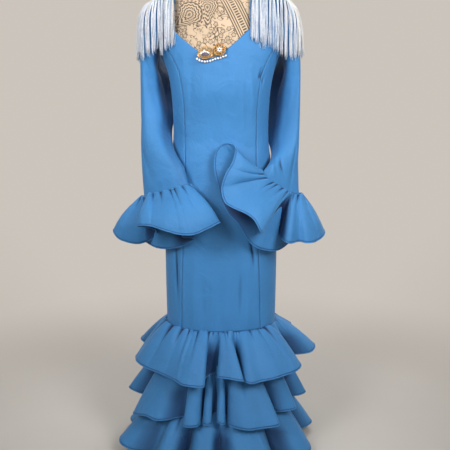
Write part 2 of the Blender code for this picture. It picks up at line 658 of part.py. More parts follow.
def evened(curve, values, full, reach):
    """Moving average along a closed curve of values that grow by full over one round.
    reach is the share of the curve that is taken in each way."""
    steps = np.linalg.norm(np.roll(curve, -1, axis=0) - curve, axis=1)
    run = np.concatenate([[0], np.cumsum(steps)]) / steps.sum()
    fine = np.arange(EVEN_STEPS) / EVEN_STEPS
    even = np.interp(fine, run, np.append(values, values[0] + full))
    around = np.concatenate([even - full, even, even + full, [even[0] + 2 * full]])
    total = np.concatenate([[0], np.cumsum(around)])
    wide = round(reach * EVEN_STEPS)
    start = EVEN_STEPS + np.arange(EVEN_STEPS + 1)
    smooth = (total[start + wide + 1] - total[start - wide]) / (2 * wide + 1)
    return np.interp(run[:-1], np.append(fine, 1.0), smooth)


def cuff_flounce(name, row, folds, sign, finish):
    """A circular flounce from the end of a sleeve to its folded hem."""
    rows = 3
    hem, at = closed_curve([(f.x, f.y, f.z) for f in folds], CUFF_STEP)
    sewn = [f.sewn_at for f in folds] + [folds[0].sewn_at + 360]
    turns = evened(hem, np.interp(at, range(len(sewn)), sewn), 360, CUFF_BLEND)
    start = np.array([ring_point(row, turn) + ring_way_out(row, turn) * LAP_GAP
                      for turn in turns]) - np.array((0, 0, CUFF_DROP))
    away = (hem - start) * np.array((1, 1, 0))
    away /= np.linalg.norm(away, axis=1).mean()
    grid = []
    for i in range(rows + 1):
        t = i / rows
        line = start + (hem - start) * t + away * CUFF_SWELL * math.sin(math.pi * t**0.8)
        line[:, 1] -= CUFF_BOW * math.sin(math.pi * t)
        grid.append(list(line))
    return cloth(name, [grid], finish, wrap=True, flip=sign > 0)


def tier(row, finish):
    """A gathered flounce: level seam, folded hem, and a fall that bells out between them."""
    rows = 3
    hem_points = []
    for fold in row.folds:
        turn = math.radians(fold.turn)
        hem_points.append((fold.reach * math.sin(turn), -fold.reach * math.cos(turn), fold.height))
    hem, _ = closed_curve(hem_points, TIER_STEP)
    turns = np.unwrap(np.arctan2(hem[:, 0], -hem[:, 1]))
    smooth = evened(hem, turns, 2 * math.pi, TIER_BLEND)
    source = BODY if row.seam == TIER_SEAM else BASE_SKIRT
    seam = [column(source, key, row.seam) for key in ("half_width", "front", "back")]
    out, drop = (0.0, TIER_DROP) if row.seam == TIER_SEAM else (LAP_GAP, 0.0)
    grid = []
    for i in range(rows + 1):
        t = i / rows
        line = []
        for j, turn in enumerate(smooth):
            x, y = section_place(seam, out, turn)
            start = np.array((x, y, row.seam - drop))
            spread, fall = t**TIER_SPREAD, t**TIER_FALL
            line.append((start[0] + (hem[j][0] - start[0]) * spread,
                         start[1] + (hem[j][1] - start[1]) * spread,
                         start[2] + (hem[j][2] - start[2]) * fall))
        grid.append(line)
    return cloth(row.name, [grid], finish, wrap=True)


def section_place(seam, out, turn):
    """Point of a section in the direction of a turn, in radians from the front."""
    half_width, front, back = (v + out for v in seam)
    s, c = math.sin(turn), math.cos(turn)
    deep = front if c > 0 else back
    power = SECTION_POWER
    reach = (abs(s / half_width) ** power + abs(c / deep) ** power) ** (-1 / power)
    return reach * s, -reach * c


def skirt_base(finish):
    columns = 28
    grid = []
    for height in BASE_SKIRT_ROWS:
        row = [column(BASE_SKIRT, key, height) for key in ("half_width", "front", "back")]
        places = [section_place(row, 0.0, 2 * math.pi * j / columns) for j in range(columns)]
        grid.append([(x, y, height) for x, y in places])
    return cloth("skirt_base", [grid], finish, wrap=True)


def surfaces(names):
    """The finished walls of some pieces, for finding what lies on them."""
    graph = bpy.context.evaluated_depsgraph_get()
    return [BVHTree.FromObject(bpy.data.objects[name], graph) for name in names]


def clear_reach(trees, x, height, facing):
    """How far the cloth reaches at a height, looking out from the shoulder's middle."""
    sign = math.copysign(1, x)
    reach = 0.0
    for lean in FRINGE_FANS:
        turn = math.radians(facing + lean)
        way = Vector((sign * math.sin(turn), -math.cos(turn), 0))
        middle = Vector((x, 0, height))
        for tree in trees:
            hit = tree.ray_cast(middle + way * FAR_OUT, -way)[0]
            if hit:
                reach = max(reach, (hit - middle).dot(way))
    return reach


def fringe(name, rows, under, finish):
    """The space that the strands fill: they hang free below the widest place they cross."""
    trees = surfaces(under)
    grid = [[] for _ in range(FRINGE_LEVELS)]
    for row in rows:
        turn = math.radians(row.facing)
        way = Vector((math.copysign(1, row.x) * math.sin(turn), -math.cos(turn), 0))
        top = ridge_height(row.x) - FRINGE_TOP - FRINGE_SHOULDER_DROP * abs(math.sin(turn))
        shares = np.linspace(0, 1, FRINGE_LEVELS) ** FRINGE_CROWDING
        heights = list(top + (row.bottom - top) * shares)
        reach = 0.0
        for i, height in enumerate(heights):
            under_it = heights[min(i + 1, FRINGE_LEVELS - 1)]
            for step in np.linspace(height, under_it, FRINGE_PROBES):
                reach = max(reach, clear_reach(trees, row.x, step, row.facing))
            grid[i].append(Vector((row.x, 0, height)) + way * (reach + FRINGE_STANDS_OFF))
    return cloth(name, [grid], finish, wall=FRINGE_WALL, flip=rows[0].x > 0)


def braid(name, sign, finish):
    """The corded heading that the fringe hangs from, along the shoulder seam."""
    steps = 8
    tip = ARMHOLE[-1].reach
    start, end = NECK_MIDDLE + sign * NECK_REACH, sign * (tip + BRAID_OVERHANG)
    edge, crown = BRAID_LIFT
    rows = [[], [], []]
    for i in range(steps + 1):
        x = start + (end - start) * i / steps
        height = ridge_height(x) if abs(x) < tip else SHOULDER_TIP - (abs(x) - tip) * BRAID_SLOPE
        rows[0].append((x, -BRAID_HALF_WIDTH, height + edge))
        rows[1].append((x, 0.0, height + crown))
        rows[2].append((x, BRAID_HALF_WIDTH, height + edge))
    return cloth(name, [rows], finish, wall=BRAID_WALL, flip=sign < 0)


def lathe(name, profile, height, finish, segments=32):
    """A turned solid: the profile runs from the axis up the outside and back to it."""
    points = [(0.0, 0.0, profile[0][1] + height)]
    rings = [p for p in profile if p[0] > 0]
    for radius, z in rings:
        for j in range(segments):
            turn = 2 * math.pi * j / segments
            points.append((radius * math.cos(turn), radius * math.sin(turn), z + height))
    points.append((0.0, 0.0, profile[-1][1] + height))
    faces = []
    for j in range(segments):
        k = (j + 1) % segments
        faces.append((0, 1 + k, 1 + j))
        for i in range(len(rings) - 1):
            a, b = 1 + i * segments, 1 + (i + 1) * segments
            faces.append((a + j, a + k, b + k, b + j))
        last = 1 + (len(rings) - 1) * segments
        faces.append((last + j, last + k, len(points) - 1))
    return add_mesh(name, points, faces, finish)


def form_torso(finish):
    columns = 32
    rings = []
    for height in [FORM_BOTTOM] + FORM_RINGS:
        row = [column(BODY, key, height) - FORM_CLEARANCE for key in ("half_width", "front", "back")]
        if height == FORM_BOTTOM:
            row = [v - FORM_EDGE for v in row]
        if height > FORM_SHOULDER[0].height:
            row[0] = column(FORM_SHOULDER, "reach", height)
        rings.append([(*section_place(row, 0.0, 2 * math.pi * j / columns), height)
                      for j in range(columns)])
    for neck in NECK:
        row = (neck.half_width, neck.half_depth, neck.half_depth)
        rings.append([(*section_place(row, 0.0, 2 * math.pi * j / columns), neck.height)
                      for j in range(columns)])
    points = [p for ring in rings for p in ring]
    faces = grid_faces(len(rings), columns, wrap=True)
    points.append((0, 0, rings[0][0][2]))
    points.append((0, 0, rings[-1][0][2]))
    low, high, last = len(points) - 2, len(points) - 1, (len(rings) - 1) * columns
    for j in range(columns):
        k = (j + 1) % columns
        faces.append((low, k, j))
        faces.append((high, last + j, last + k))
    return add_mesh("form_torso", points, faces, finish)


def box(name, low, high, finish):
    (x0, y0, z0), (x1, y1, z1) = low, high
    points = [(x, y, z) for x in (x0, x1) for y in (y0, y1) for z in (z0, z1)]
    faces = [(0, 1, 3, 2), (4, 6, 7, 5), (0, 4, 5, 1), (2, 3, 7, 6), (0, 2, 6, 4), (1, 5, 7, 3)]
    return add_mesh(name, points, faces, finish)


def boolean(obj, other, operation):
    """Joins or cuts with a helper object, which is then only a hidden guide."""
    cut = obj.modifiers.new(operation.lower(), "BOOLEAN")
    cut.operation = operation
    cut.object = other
    other.hide_render = True
    other.display_type = "WIRE"


def zip_pull(finish):
    """The slider at the top of the zip, with a bridge that the pull tab's bar turns in."""
    wide, deep, tall = (v / 2 for v in SLIDER_SIZE)
    lowest = SLIDER_MIDDLE - tall
    back = body_y(0, lowest, 1) + CLOTH / 2 + TOUCH
    face = back + 2 * deep
    slider = box("zip_slider", (-wide, back, lowest), (wide, face, SLIDER_MIDDLE + tall), finish)
    hollow_deep, hollow_tall = BRIDGE_HOLLOW
    low, high = SLIDER_MIDDLE - hollow_tall / 2, SLIDER_MIDDLE + hollow_tall / 2
    half = BRIDGE_WIDTH / 2
    outer = face + hollow_deep + BRIDGE_BAR
    foot = face - BRIDGE_SINK
    arch = [(foot, low - BRIDGE_BAR), (outer, low - BRIDGE_BAR), (outer, high + BRIDGE_BAR),
            (foot, high + BRIDGE_BAR), (foot, high), (face + hollow_deep, high),
            (face + hollow_deep, low), (foot, low)]
    points = [(x, y, z) for x in (-half, half) for y, z in arch]
    count = len(arch)
    faces = [(i, (i + 1) % count, (i + 1) % count + count, i + count) for i in range(count)]
    faces += [tuple(range(count))[::-1], tuple(range(count, 2 * count))]
    bridge = add_mesh("guide_bridge", points, faces, finish)
    boolean(slider, bridge, "UNION")
    pivot_y, pivot_z = face + hollow_deep / 2, SLIDER_MIDDLE
    wide, deep, tall = TAB_SIZE
    top = pivot_z + TAB_BAR / 2
    tab = box("zip_pull_tab", (-wide / 2, pivot_y - deep / 2, top - tall),
              (wide / 2, pivot_y + deep / 2, top), finish)
    open_wide, open_tall = TAB_WINDOW
    under = pivot_z - TAB_BAR / 2
    window = box("guide_window", (-open_wide / 2, pivot_y - deep, under - open_tall),
                 (open_wide / 2, pivot_y + deep, under), finish)
    boolean(tab, window, "DIFFERENCE")
    pivot = Vector((0, pivot_y, pivot_z))
    tab.data.transform(Matrix.Translation(-pivot))
    tab.location = pivot


def ring(name, middle, radii, bar, finish, sides=8, segments=28):
    """An oval ring that faces the front."""
    points, faces = [], []
    for i in range(segments):
        turn = 2 * math.pi * i / segments
        for j in range(sides):
            lean = 2 * math.pi * j / sides
            x = middle[0] + (radii[0] + bar * math.cos(lean)) * math.cos(turn)
            z = middle[1] + (radii[1] + bar * math.cos(lean)) * math.sin(turn)
            points.append((x, BROOCH_Y + bar * math.sin(lean), z))
    for i in range(segments):
        k = (i + 1) % segments
        for j in range(sides):
            m = (j + 1) % sides
            faces.append((i * sides + j, i * sides + m, k * sides + m, k * sides + j))
    return add_mesh(name, points, faces, finish)


def rosette(finish):
    """A domed round boss whose back is flat."""
    segments, profile = 28, ROSETTE_PROFILE
    x0, z0 = ROSETTE_MIDDLE
    points = [(x0, BROOCH_Y + profile[0][1], z0)]
    for share, y in profile:
        for j in range(segments):
            turn = 2 * math.pi * j / segments
            points.append((x0 + ROSETTE_RADIUS * share * math.cos(turn), BROOCH_Y + y,
                           z0 + ROSETTE_RADIUS * share * math.sin(turn)))
    points.append((x0, BROOCH_Y + ROSETTE_CROWN, z0))
    faces = []
    for j in range(segments):
        k = (j + 1) % segments
        faces.append((0, 1 + k, 1 + j))
        for i in range(len(profile) - 1):
            a, b = 1 + i * segments, 1 + (i + 1) * segments
            faces.append((a + j, a + k, b + k, b + j))
        last = 1 + (len(profile) - 1) * segments
        faces.append((last + j, last + k, len(points) - 1))
    return add_mesh("brooch_rosette", points, faces, finish)


def pearl_string(finish):
    curve = bpy.data.curves.new("brooch_pearls", "CURVE")
    curve.dimensions = "3D"
    curve.bevel_depth = PEARL_RADIUS
    curve.bevel_resolution = 1
    curve.use_fill_caps = True
    spline = curve.splines.new("POLY")
    spline.points.add(len(PEARL_STRING) - 1)
    for point, row in zip(spline.points, PEARL_STRING):
        point.co = (row.x, BROOCH_Y, row.z, 1)
    curve.materials.append(finish)
    obj = bpy.data.objects.new("brooch_pearls", curve)
    bpy.context.scene.collection.objects.link(obj)


def main():
    for obj in list(bpy.data.objects):
        bpy.data.objects.remove(obj, do_unlink=True)
    crepe = material("crepe", BLUE, 0.62)
    silk = material("fringe_silk", WHITE, 0.5)
    cover = material("form_cover", CREAM, 0.8)
    black = material("stand_black", BLACK, 0.35)
    front_centre(crepe)
    front_side("front_side_right", -1, crepe)
    front_side("front_side_left", 1, crepe)
    back_panel("back_right", -1, crepe)
    back_panel("back_left", 1, crepe)
    sleeve("sleeve_right", SLEEVE_RIGHT, -1, crepe)
    sleeve("sleeve_left", SLEEVE_LEFT, 1, crepe)
    cuff_flounce("cuff_flounce_right", SLEEVE_RIGHT[-1], CUFF_FOLDS_RIGHT, -1, crepe)
    cuff_flounce("cuff_flounce_left", SLEEVE_LEFT[-1], CUFF_FOLDS_LEFT, 1, crepe)
    skirt_base(crepe)
    for row in TIERS:
        tier(row, crepe)
    zip_pull(material("zip_metal", ZIP_BLUE, 0.4))
    braid("braid_right", -1, silk)
    braid("braid_left", 1, silk)
    bodice = ["front_centre", "front_side_right", "front_side_left", "back_right", "back_left"]
    bpy.context.view_layer.update()
    fringe("fringe_right", FRINGE_RIGHT, bodice + ["sleeve_right"], silk)
    fringe("fringe_left", FRINGE_LEFT, bodice + ["sleeve_left"], silk)
    gold = material("gilt", GOLD, 0.3, 1.0)
    ring("brooch_loop", LOOP_MIDDLE, LOOP_RADII, LOOP_BAR, gold)
    rosette(gold)
    pearl_string(material("pearl", PEARL_WHITE, 0.25))
    form_torso(cover)
    lathe("neck_cap", CAP_PROFILE, NECK[-1].height + TOUCH, black)
    base_top = BASE_PROFILE[-1][1] + TOUCH
    pole_top = FORM_BOTTOM - TOUCH
    pole = [(0, base_top), (POLE_RADIUS, base_top), (POLE_RADIUS, pole_top), (0, pole_top)]
    lathe("stand_pole", pole, 0.0, black, segments=20)
    lathe("stand_base", BASE_PROFILE, 0.0, black, segments=40)


main()
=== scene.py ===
"""The looks of a flamenco dress on its dress form: cloth, fringe, brooch, form and studio.

Metres, +Z up, the front of the dress towards -Y and the wearer's left towards +X.
Every piece is a thin shell on the form of its solid, with its folds listed one by one.
"""

import math
from collections import namedtuple

import bmesh
import bpy
import numpy as np
from bpy.props import FloatProperty, FloatVectorProperty, IntProperty, PointerProperty
from mathutils import Matrix, Vector
from mathutils.bvhtree import BVHTree


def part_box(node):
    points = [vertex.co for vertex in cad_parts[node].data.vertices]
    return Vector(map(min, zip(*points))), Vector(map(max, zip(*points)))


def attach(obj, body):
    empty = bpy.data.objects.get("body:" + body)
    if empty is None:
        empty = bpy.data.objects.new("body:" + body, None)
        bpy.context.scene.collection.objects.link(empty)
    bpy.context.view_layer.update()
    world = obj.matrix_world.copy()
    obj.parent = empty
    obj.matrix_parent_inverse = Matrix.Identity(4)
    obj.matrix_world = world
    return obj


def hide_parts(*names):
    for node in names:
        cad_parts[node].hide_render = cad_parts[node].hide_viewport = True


bl_info = {
    "name": "Flamenco Dress",
    "version": (1, 0, 0),
    "blender": (4, 5, 0),
    "location": "View3D > Sidebar > Dress",
    "description": "Finishes a flamenco dress and the dress form that wears it",
    "category": "Object",
}

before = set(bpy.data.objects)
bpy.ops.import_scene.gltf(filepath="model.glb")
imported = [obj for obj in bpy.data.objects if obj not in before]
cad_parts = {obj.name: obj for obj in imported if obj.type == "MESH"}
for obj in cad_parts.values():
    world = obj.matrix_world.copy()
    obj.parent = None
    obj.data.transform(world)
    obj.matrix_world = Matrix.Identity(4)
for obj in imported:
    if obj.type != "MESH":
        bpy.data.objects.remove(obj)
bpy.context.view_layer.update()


def table(columns, *rows):
    Row = namedtuple("Row", columns)
    return [Row(*row) for row in rows]


# ---- cut of the dress
# Gaps: between two pieces that are sewn together, between the middles of two walls that lie
# on each other, and between a sleeve's head and the armhole
SEAM_GAP, LAP_GAP, HEAD_GAP = 0.0004, 0.0024, 0.0018

# Heights of the seams
TIER_SEAM = 0.405         # the first flounce hangs from it
UNDERARM = 1.240
ARMHOLE_SPLIT = 1.265     # the princess seam meets the armhole
SHOULDER_TIP = 1.375

# The neckline: its lowest point, half its width, and its rise to the right and to the left
NECK_BOTTOM = 1.210
NECK_MIDDLE = -0.024
NECK_REACH = 0.107
NECK_RISE = (1.36, 1.52)
NECK_POWER = 1.3          # 1 is a straight rise, and 2 a round one

# The back's top edge, in height: at the zip, where the shoulder part starts, and at the armhole
BACK_NECK = 1.335
BACK_STRAP_BASE = 1.362
BACK_ARM_BASE = 1.340

# Panels: rows of a panel and of its shoulder part, and the height that the rows are spaced for
PANEL_COUNT, STRAP_COUNT = 120, 20
PANEL_TOP = 1.265

# Sections: 2 is an ellipse, and more is squarer
SECTION_POWER = 2.25
SLEEVE_POWER = 2.3

# Seams and creases, in metres unless a comment says otherwise
SEAM_TURN, SEAM_ROLL = 0.0011, 0.0020        # how far a sewn edge turns in, and over what width
PUCKER, PUCKER_AT = 0.00035, 0.006           # height of the puckers, and how far from the seam
PUCKER_RATE, PUCKER_DRIFT = 430, 61          # radians to a metre of seam, and of their unevenness
RELIEF_TOP, RELIEF_FADE = 1.25, 0.03         # creases end below the shoulders, over this height
BODY_DEGREE = math.radians(0.14)             # metres of cloth to a degree round the body
SLEEVE_DEGREE, SLEEVE_LONG = 0.0009, 0.52    # and round a sleeve, and the sleeve's length
CREASE_FROM, CREASE_RANGE = 0.0015, 0.0045   # depths at which a crease's painted shade starts, and over which it grows
FAR = 1.0                                    # edge mark of a point that is near no hem

# Painted shade, from 0 for plain cloth to 1 and over for the bottom of a deep fold
PINCH_SHADE = 2.00        # between two gathers
INNER_SHADE = 0.85        # on the side of a sleeve that faces the body
SEAM_SHADE = 0.60         # along a seam of the body

# Gathers: ranges of width, height and length, and how round each one is
GATHER_WIDTHS, GATHER_HEIGHTS, GATHER_FADES = (0.35, 1.65), (0.25, 1.0), (0.08, 0.26)
GATHER_SHORT, GATHER_LONG = 0.70, 0.60       # share of short ones, and what the rest have more
GATHER_POWER, GATHER_PINCH = 0.45, 1.6
SLEEVE_GATHERS, CUFF_GATHERS = 26, 26        # round a sleeve's end and its flounce
SLEEVE_RIPPLE, RIPPLE_FADE = 0.0016, 0.05    # depth of a sleeve's, and share they die away in

# Painted shade in the folds of a skirt flounce
FOLD_SHARE, FOLD_DEPTH = 0.018, 0.058        # a fold's width as a share of the hem, and the depth at which its painted shade is full
FOLD_START = 0.55         # share of the fall over which the painted shade of the hem's folds grows

BODY = table(
    "height half_width front back",
    (0.405, 0.1705, 0.126, 0.122), (0.6, 0.172, 0.127, 0.13), (0.7, 0.1715, 0.126, 0.132),
    (0.8, 0.166, 0.121, 0.126), (0.9, 0.152, 0.113, 0.111), (0.987, 0.142, 0.106, 0.099),
    (1.06, 0.143, 0.113, 0.1), (1.12, 0.147, 0.123, 0.106), (1.18, 0.158, 0.121, 0.11),
    (1.24, 0.18, 0.112, 0.108), (1.31, 0.2, 0.095, 0.098), (1.345, 0.2, 0.084, 0.09),
    (1.375, 0.188, 0.07, 0.077), (1.393, 0.155, 0.058, 0.064), (1.408, 0.105, 0.048, 0.053),
)
PRINCESS = table(
    "height reach",
    (0.405, 0.12), (0.7, 0.111), (0.987, 0.104), (1.12, 0.109), (1.18, 0.122), (1.23, 0.148),
    (1.265, 0.172),
)
ARMHOLE = table(
    "height reach",
    (1.24, 0.18), (1.265, 0.172), (1.31, 0.168), (1.345, 0.174), (1.375, 0.188),
)
BASE_SKIRT = table(
    "height half_width front back",
    (0.154, 0.195, 0.15, 0.15), (0.3, 0.178, 0.134, 0.132), (0.401, 0.1675, 0.123, 0.119),
)

# A sleeve's rings: its outer and inner edge, and the ways to its front and its back
SLEEVE_RIGHT = table(
    "outer inner front back",
    ((-0.214, 0, 1.352), (-0.184, 0, 1.214), (0, -0.062), (0.006, 0.062)),
    ((-0.23, 0, 1.315), (-0.188, 0.004, 1.188), (0, -0.064), (0.018, 0.065)),
    ((-0.234, -0.002, 1.262), (-0.18, 0.016, 1.158), (-0.002, -0.06), (0.036, 0.067)),
    ((-0.233, -0.006, 1.19), (-0.171, 0.026, 1.115), (-0.008, -0.052), (0.05, 0.07)),
    ((-0.233, -0.01, 1.11), (-0.16, 0.014, 1.06), (-0.01, -0.048), (0.046, 0.07)),
    ((-0.233, -0.016, 1.03), (-0.157, -0.026, 1), (-0.012, -0.04), (0.025, 0.057)),
    ((-0.232, -0.026, 0.955), (-0.135, -0.09, 0.947), (-0.017, -0.03), (0.008, 0.033)),
    ((-0.23, -0.038, 0.88), (-0.108, -0.123, 0.9), (-0.017, -0.024), (0.014, 0.024)),
    ((-0.227, -0.05, 0.806), (-0.094, -0.138, 0.858), (-0.013, -0.021), (0.013, 0.021)),
)
SLEEVE_LEFT = table(
    "outer inner front back",
    ((0.212, 0, 1.348), (0.184, 0, 1.212), (0, -0.062), (-0.006, 0.062)),
    ((0.224, 0, 1.305), (0.188, 0.004, 1.185), (0, -0.064), (-0.026, 0.066)),
    ((0.228, -0.004, 1.25), (0.183, 0.016, 1.15), (0.004, -0.062), (-0.05, 0.07)),
    ((0.229, -0.01, 1.18), (0.171, 0.024, 1.105), (0.012, -0.054), (-0.052, 0.074)),
    ((0.229, -0.012, 1.1), (0.163, 0.022, 1.045), (0.015, -0.048), (-0.046, 0.076)),
    ((0.229, -0.016, 1.02), (0.157, 0.008, 0.985), (0.014, -0.044), (-0.038, 0.07)),
    ((0.23, -0.024, 0.95), (0.157, -0.038, 0.945), (0.008, -0.038), (-0.02, 0.05)),
    ((0.232, -0.034, 0.88), (0.142, -0.095, 0.915), (-0.006, -0.03), (0, 0.034)),
    ((0.2335, -0.045, 0.812), (0.122, -0.13, 0.892), (-0.013, -0.021), (0.013, 0.021)),
)

# Hem of a cuff flounce. sewn_at is the place on the cuff seam, in degrees: 0 outer, 90 front
CUFF_BOW, CUFF_DROP, CUFF_SWELL = 0.012, 0.0006, 0.012
CUFF_BLEND = 6            # points each way over which the sewn places are evened out
CUFF_FOLDS_RIGHT = table(
    "sewn_at x y z",
    (60, -0.238, -0.17, 0.743), (75, -0.198, -0.202, 0.75), (95, -0.15, -0.23, 0.741),
    (115, -0.106, -0.24, 0.733), (135, -0.07, -0.236, 0.734), (155, -0.035, -0.215, 0.746),
    (172, -0.002, -0.185, 0.757), (186, -0.036, -0.168, 0.738), (197, -0.112, -0.16, 0.712),
    (208, -0.078, -0.142, 0.7), (222, -0.112, -0.122, 0.674), (238, -0.152, -0.105, 0.66),
    (255, -0.194, -0.082, 0.658), (275, -0.24, -0.045, 0.675), (300, -0.29, -0.01, 0.703),
    (330, -0.318, -0.022, 0.708), (350, -0.324, -0.052, 0.702), (370, -0.3, -0.08, 0.682),
    (388, -0.256, -0.09, 0.672), (398, -0.226, -0.084, 0.676), (406, -0.196, -0.076, 0.694),
    (413, -0.19, -0.104, 0.716), (418, -0.212, -0.138, 0.732),
)
CUFF_FOLDS_LEFT = table(
    "sewn_at x y z",
    (62, 0.113, -0.24, 0.738), (75, 0.094, -0.242, 0.773), (88, 0.07, -0.238, 0.792),
    (102, 0.029, -0.228, 0.809), (112, 0.01, -0.218, 0.824), (125, 0.003, -0.205, 0.858),
    (138, 0.015, -0.198, 0.897), (150, 0.032, -0.186, 0.925), (163, 0.041, -0.17, 0.96),
    (174, 0.027, -0.152, 0.974), (184, 0.007, -0.14, 0.973), (193, -0.013, -0.136, 0.953),
    (203, -0.018, -0.138, 0.905), (214, -0.005, -0.146, 0.849), (225, 0.007, -0.154, 0.806),
    (234, 0.024, -0.16, 0.776), (243, 0.05, -0.162, 0.749), (253, 0.086, -0.152, 0.69),
    (264, 0.125, -0.132, 0.664), (278, 0.177, -0.098, 0.657), (305, 0.25, -0.01, 0.69),
    (335, 0.306, -0.015, 0.702), (350, 0.315, -0.05, 0.695), (361, 0.283, -0.108, 0.684),
    (371, 0.252, -0.134, 0.685), (380, 0.229, -0.128, 0.688), (391, 0.202, -0.16, 0.69),
    (399, 0.183, -0.156, 0.696), (406, 0.17, -0.11, 0.706), (411, 0.152, -0.082, 0.716),
    (416, 0.133, -0.112, 0.724), (420, 0.123, -0.18, 0.732),
)

# Painted shade where one fold of a cuff lies over another: sewn is as above, fall runs from 0
# at the sleeve to 1 at the hem, and shade is how dark it is painted
CUFF_HOLLOWS_RIGHT = table(
    "sewn_0 sewn_1 fall_0 fall_1 shade",
    (190, 236, 0.2, 1.1, 1), (396, 416, -0.1, 1.15, 0.95),
)
CUFF_HOLLOWS_LEFT = table(
    "sewn_0 sewn_1 fall_0 fall_1 shade",
    (206, 256, 0, 1.08, 1.1), (397, 421, 0.05, 1.3, 1.1),
)

# Hem of a skirt tier: turn is in degrees from the front towards the wearer's left
TIER_SPREAD, TIER_FALL, TIER_BLEND, TIER_DROP = 0.85, 1.15, 6 / 76, 0.0003
TIER_1_FOLDS = table(
    "turn reach height",
    (-14, 0.206, 0.284), (-12.5, 0.176, 0.286), (-8, 0.158, 0.288), (-3, 0.147, 0.289),
    (0.5, 0.15, 0.291), (-2.2, 0.18, 0.293), (-3.2, 0.199, 0.295), (-0.6, 0.211, 0.297),
    (5.6, 0.219, 0.297), (10.5, 0.229, 0.296), (15.8, 0.236, 0.294), (17, 0.222, 0.292),
    (14.9, 0.188, 0.29), (16, 0.16, 0.288), (18.6, 0.159, 0.287), (17.4, 0.192, 0.286),
    (18.6, 0.224, 0.285), (22.5, 0.24, 0.283), (30, 0.237, 0.283), (39, 0.246, 0.284),
    (47, 0.252, 0.285), (59, 0.268, 0.287), (70, 0.262, 0.29), (77.5, 0.226, 0.296),
    (81.5, 0.206, 0.299), (83.5, 0.24, 0.294), (91, 0.292, 0.29), (101, 0.314, 0.295),
    (109, 0.288, 0.3), (113, 0.228, 0.305), (118, 0.202, 0.308), (122, 0.25, 0.31),
    (130, 0.316, 0.318), (139, 0.288, 0.308), (143, 0.22, 0.302), (149, 0.178, 0.298),
    (153, 0.225, 0.296), (163, 0.29, 0.29), (175, 0.27, 0.29), (179, 0.205, 0.292),
    (185, 0.164, 0.294), (189, 0.215, 0.291), (198, 0.292, 0.288), (209, 0.274, 0.29),
    (213, 0.215, 0.293), (218, 0.178, 0.295), (222, 0.232, 0.292), (232, 0.304, 0.29),
    (245.5, 0.299, 0.29), (254, 0.255, 0.291), (261, 0.212, 0.293), (265, 0.24, 0.289),
    (272, 0.268, 0.286), (280, 0.272, 0.284), (289, 0.262, 0.283), (298, 0.249, 0.283),
    (307, 0.237, 0.283), (317.5, 0.234, 0.282), (327, 0.24, 0.281), (334, 0.252, 0.28),
    (341, 0.251, 0.28), (347.8, 0.243, 0.28),
)
TIER_2_FOLDS = table(
    "turn reach height",
    (-38, 0.216, 0.15), (-34, 0.201, 0.15), (-31, 0.212, 0.147), (-27, 0.236, 0.142),
    (-20.5, 0.23, 0.142), (-17.5, 0.212, 0.145), (-18.4, 0.188, 0.149), (-16.6, 0.172, 0.155),
    (-14.4, 0.172, 0.155), (-15.6, 0.19, 0.15), (-15, 0.206, 0.146), (-11.5, 0.214, 0.145),
    (-8, 0.206, 0.147), (-9.6, 0.186, 0.151), (-8.6, 0.166, 0.157), (-4.6, 0.162, 0.158),
    (-0.6, 0.168, 0.158), (-2.4, 0.186, 0.156), (-3.2, 0.204, 0.155), (0.2, 0.214, 0.15),
    (3.6, 0.206, 0.147), (2.6, 0.188, 0.15), (4.2, 0.172, 0.155), (6.6, 0.172, 0.155),
    (5.8, 0.19, 0.15), (7, 0.211, 0.146), (9.8, 0.221, 0.144), (14.5, 0.231, 0.141),
    (20.3, 0.244, 0.139), (27, 0.25, 0.14), (39.5, 0.268, 0.141), (42.5, 0.256, 0.144),
    (40.8, 0.222, 0.15), (43.5, 0.198, 0.155), (48.5, 0.201, 0.156), (52, 0.232, 0.155),
    (62, 0.262, 0.156), (69, 0.234, 0.162), (73.5, 0.212, 0.165), (78, 0.25, 0.165),
    (86, 0.274, 0.163), (95, 0.25, 0.159), (102, 0.21, 0.158), (109, 0.258, 0.153),
    (119, 0.292, 0.15), (128, 0.262, 0.152), (136, 0.188, 0.156), (143, 0.245, 0.151),
    (155, 0.292, 0.147), (166, 0.264, 0.15), (173, 0.182, 0.155), (180, 0.24, 0.151),
    (192, 0.29, 0.147), (203, 0.262, 0.15), (210, 0.184, 0.156), (217, 0.248, 0.152),
    (229, 0.296, 0.149), (239, 0.262, 0.152), (246, 0.208, 0.157), (253, 0.25, 0.161),
    (267, 0.302, 0.165), (276, 0.268, 0.163), (281, 0.228, 0.157), (288, 0.288, 0.129),
    (295, 0.29, 0.134), (304, 0.279, 0.148), (313, 0.268, 0.147), (318.5, 0.24, 0.148),
)
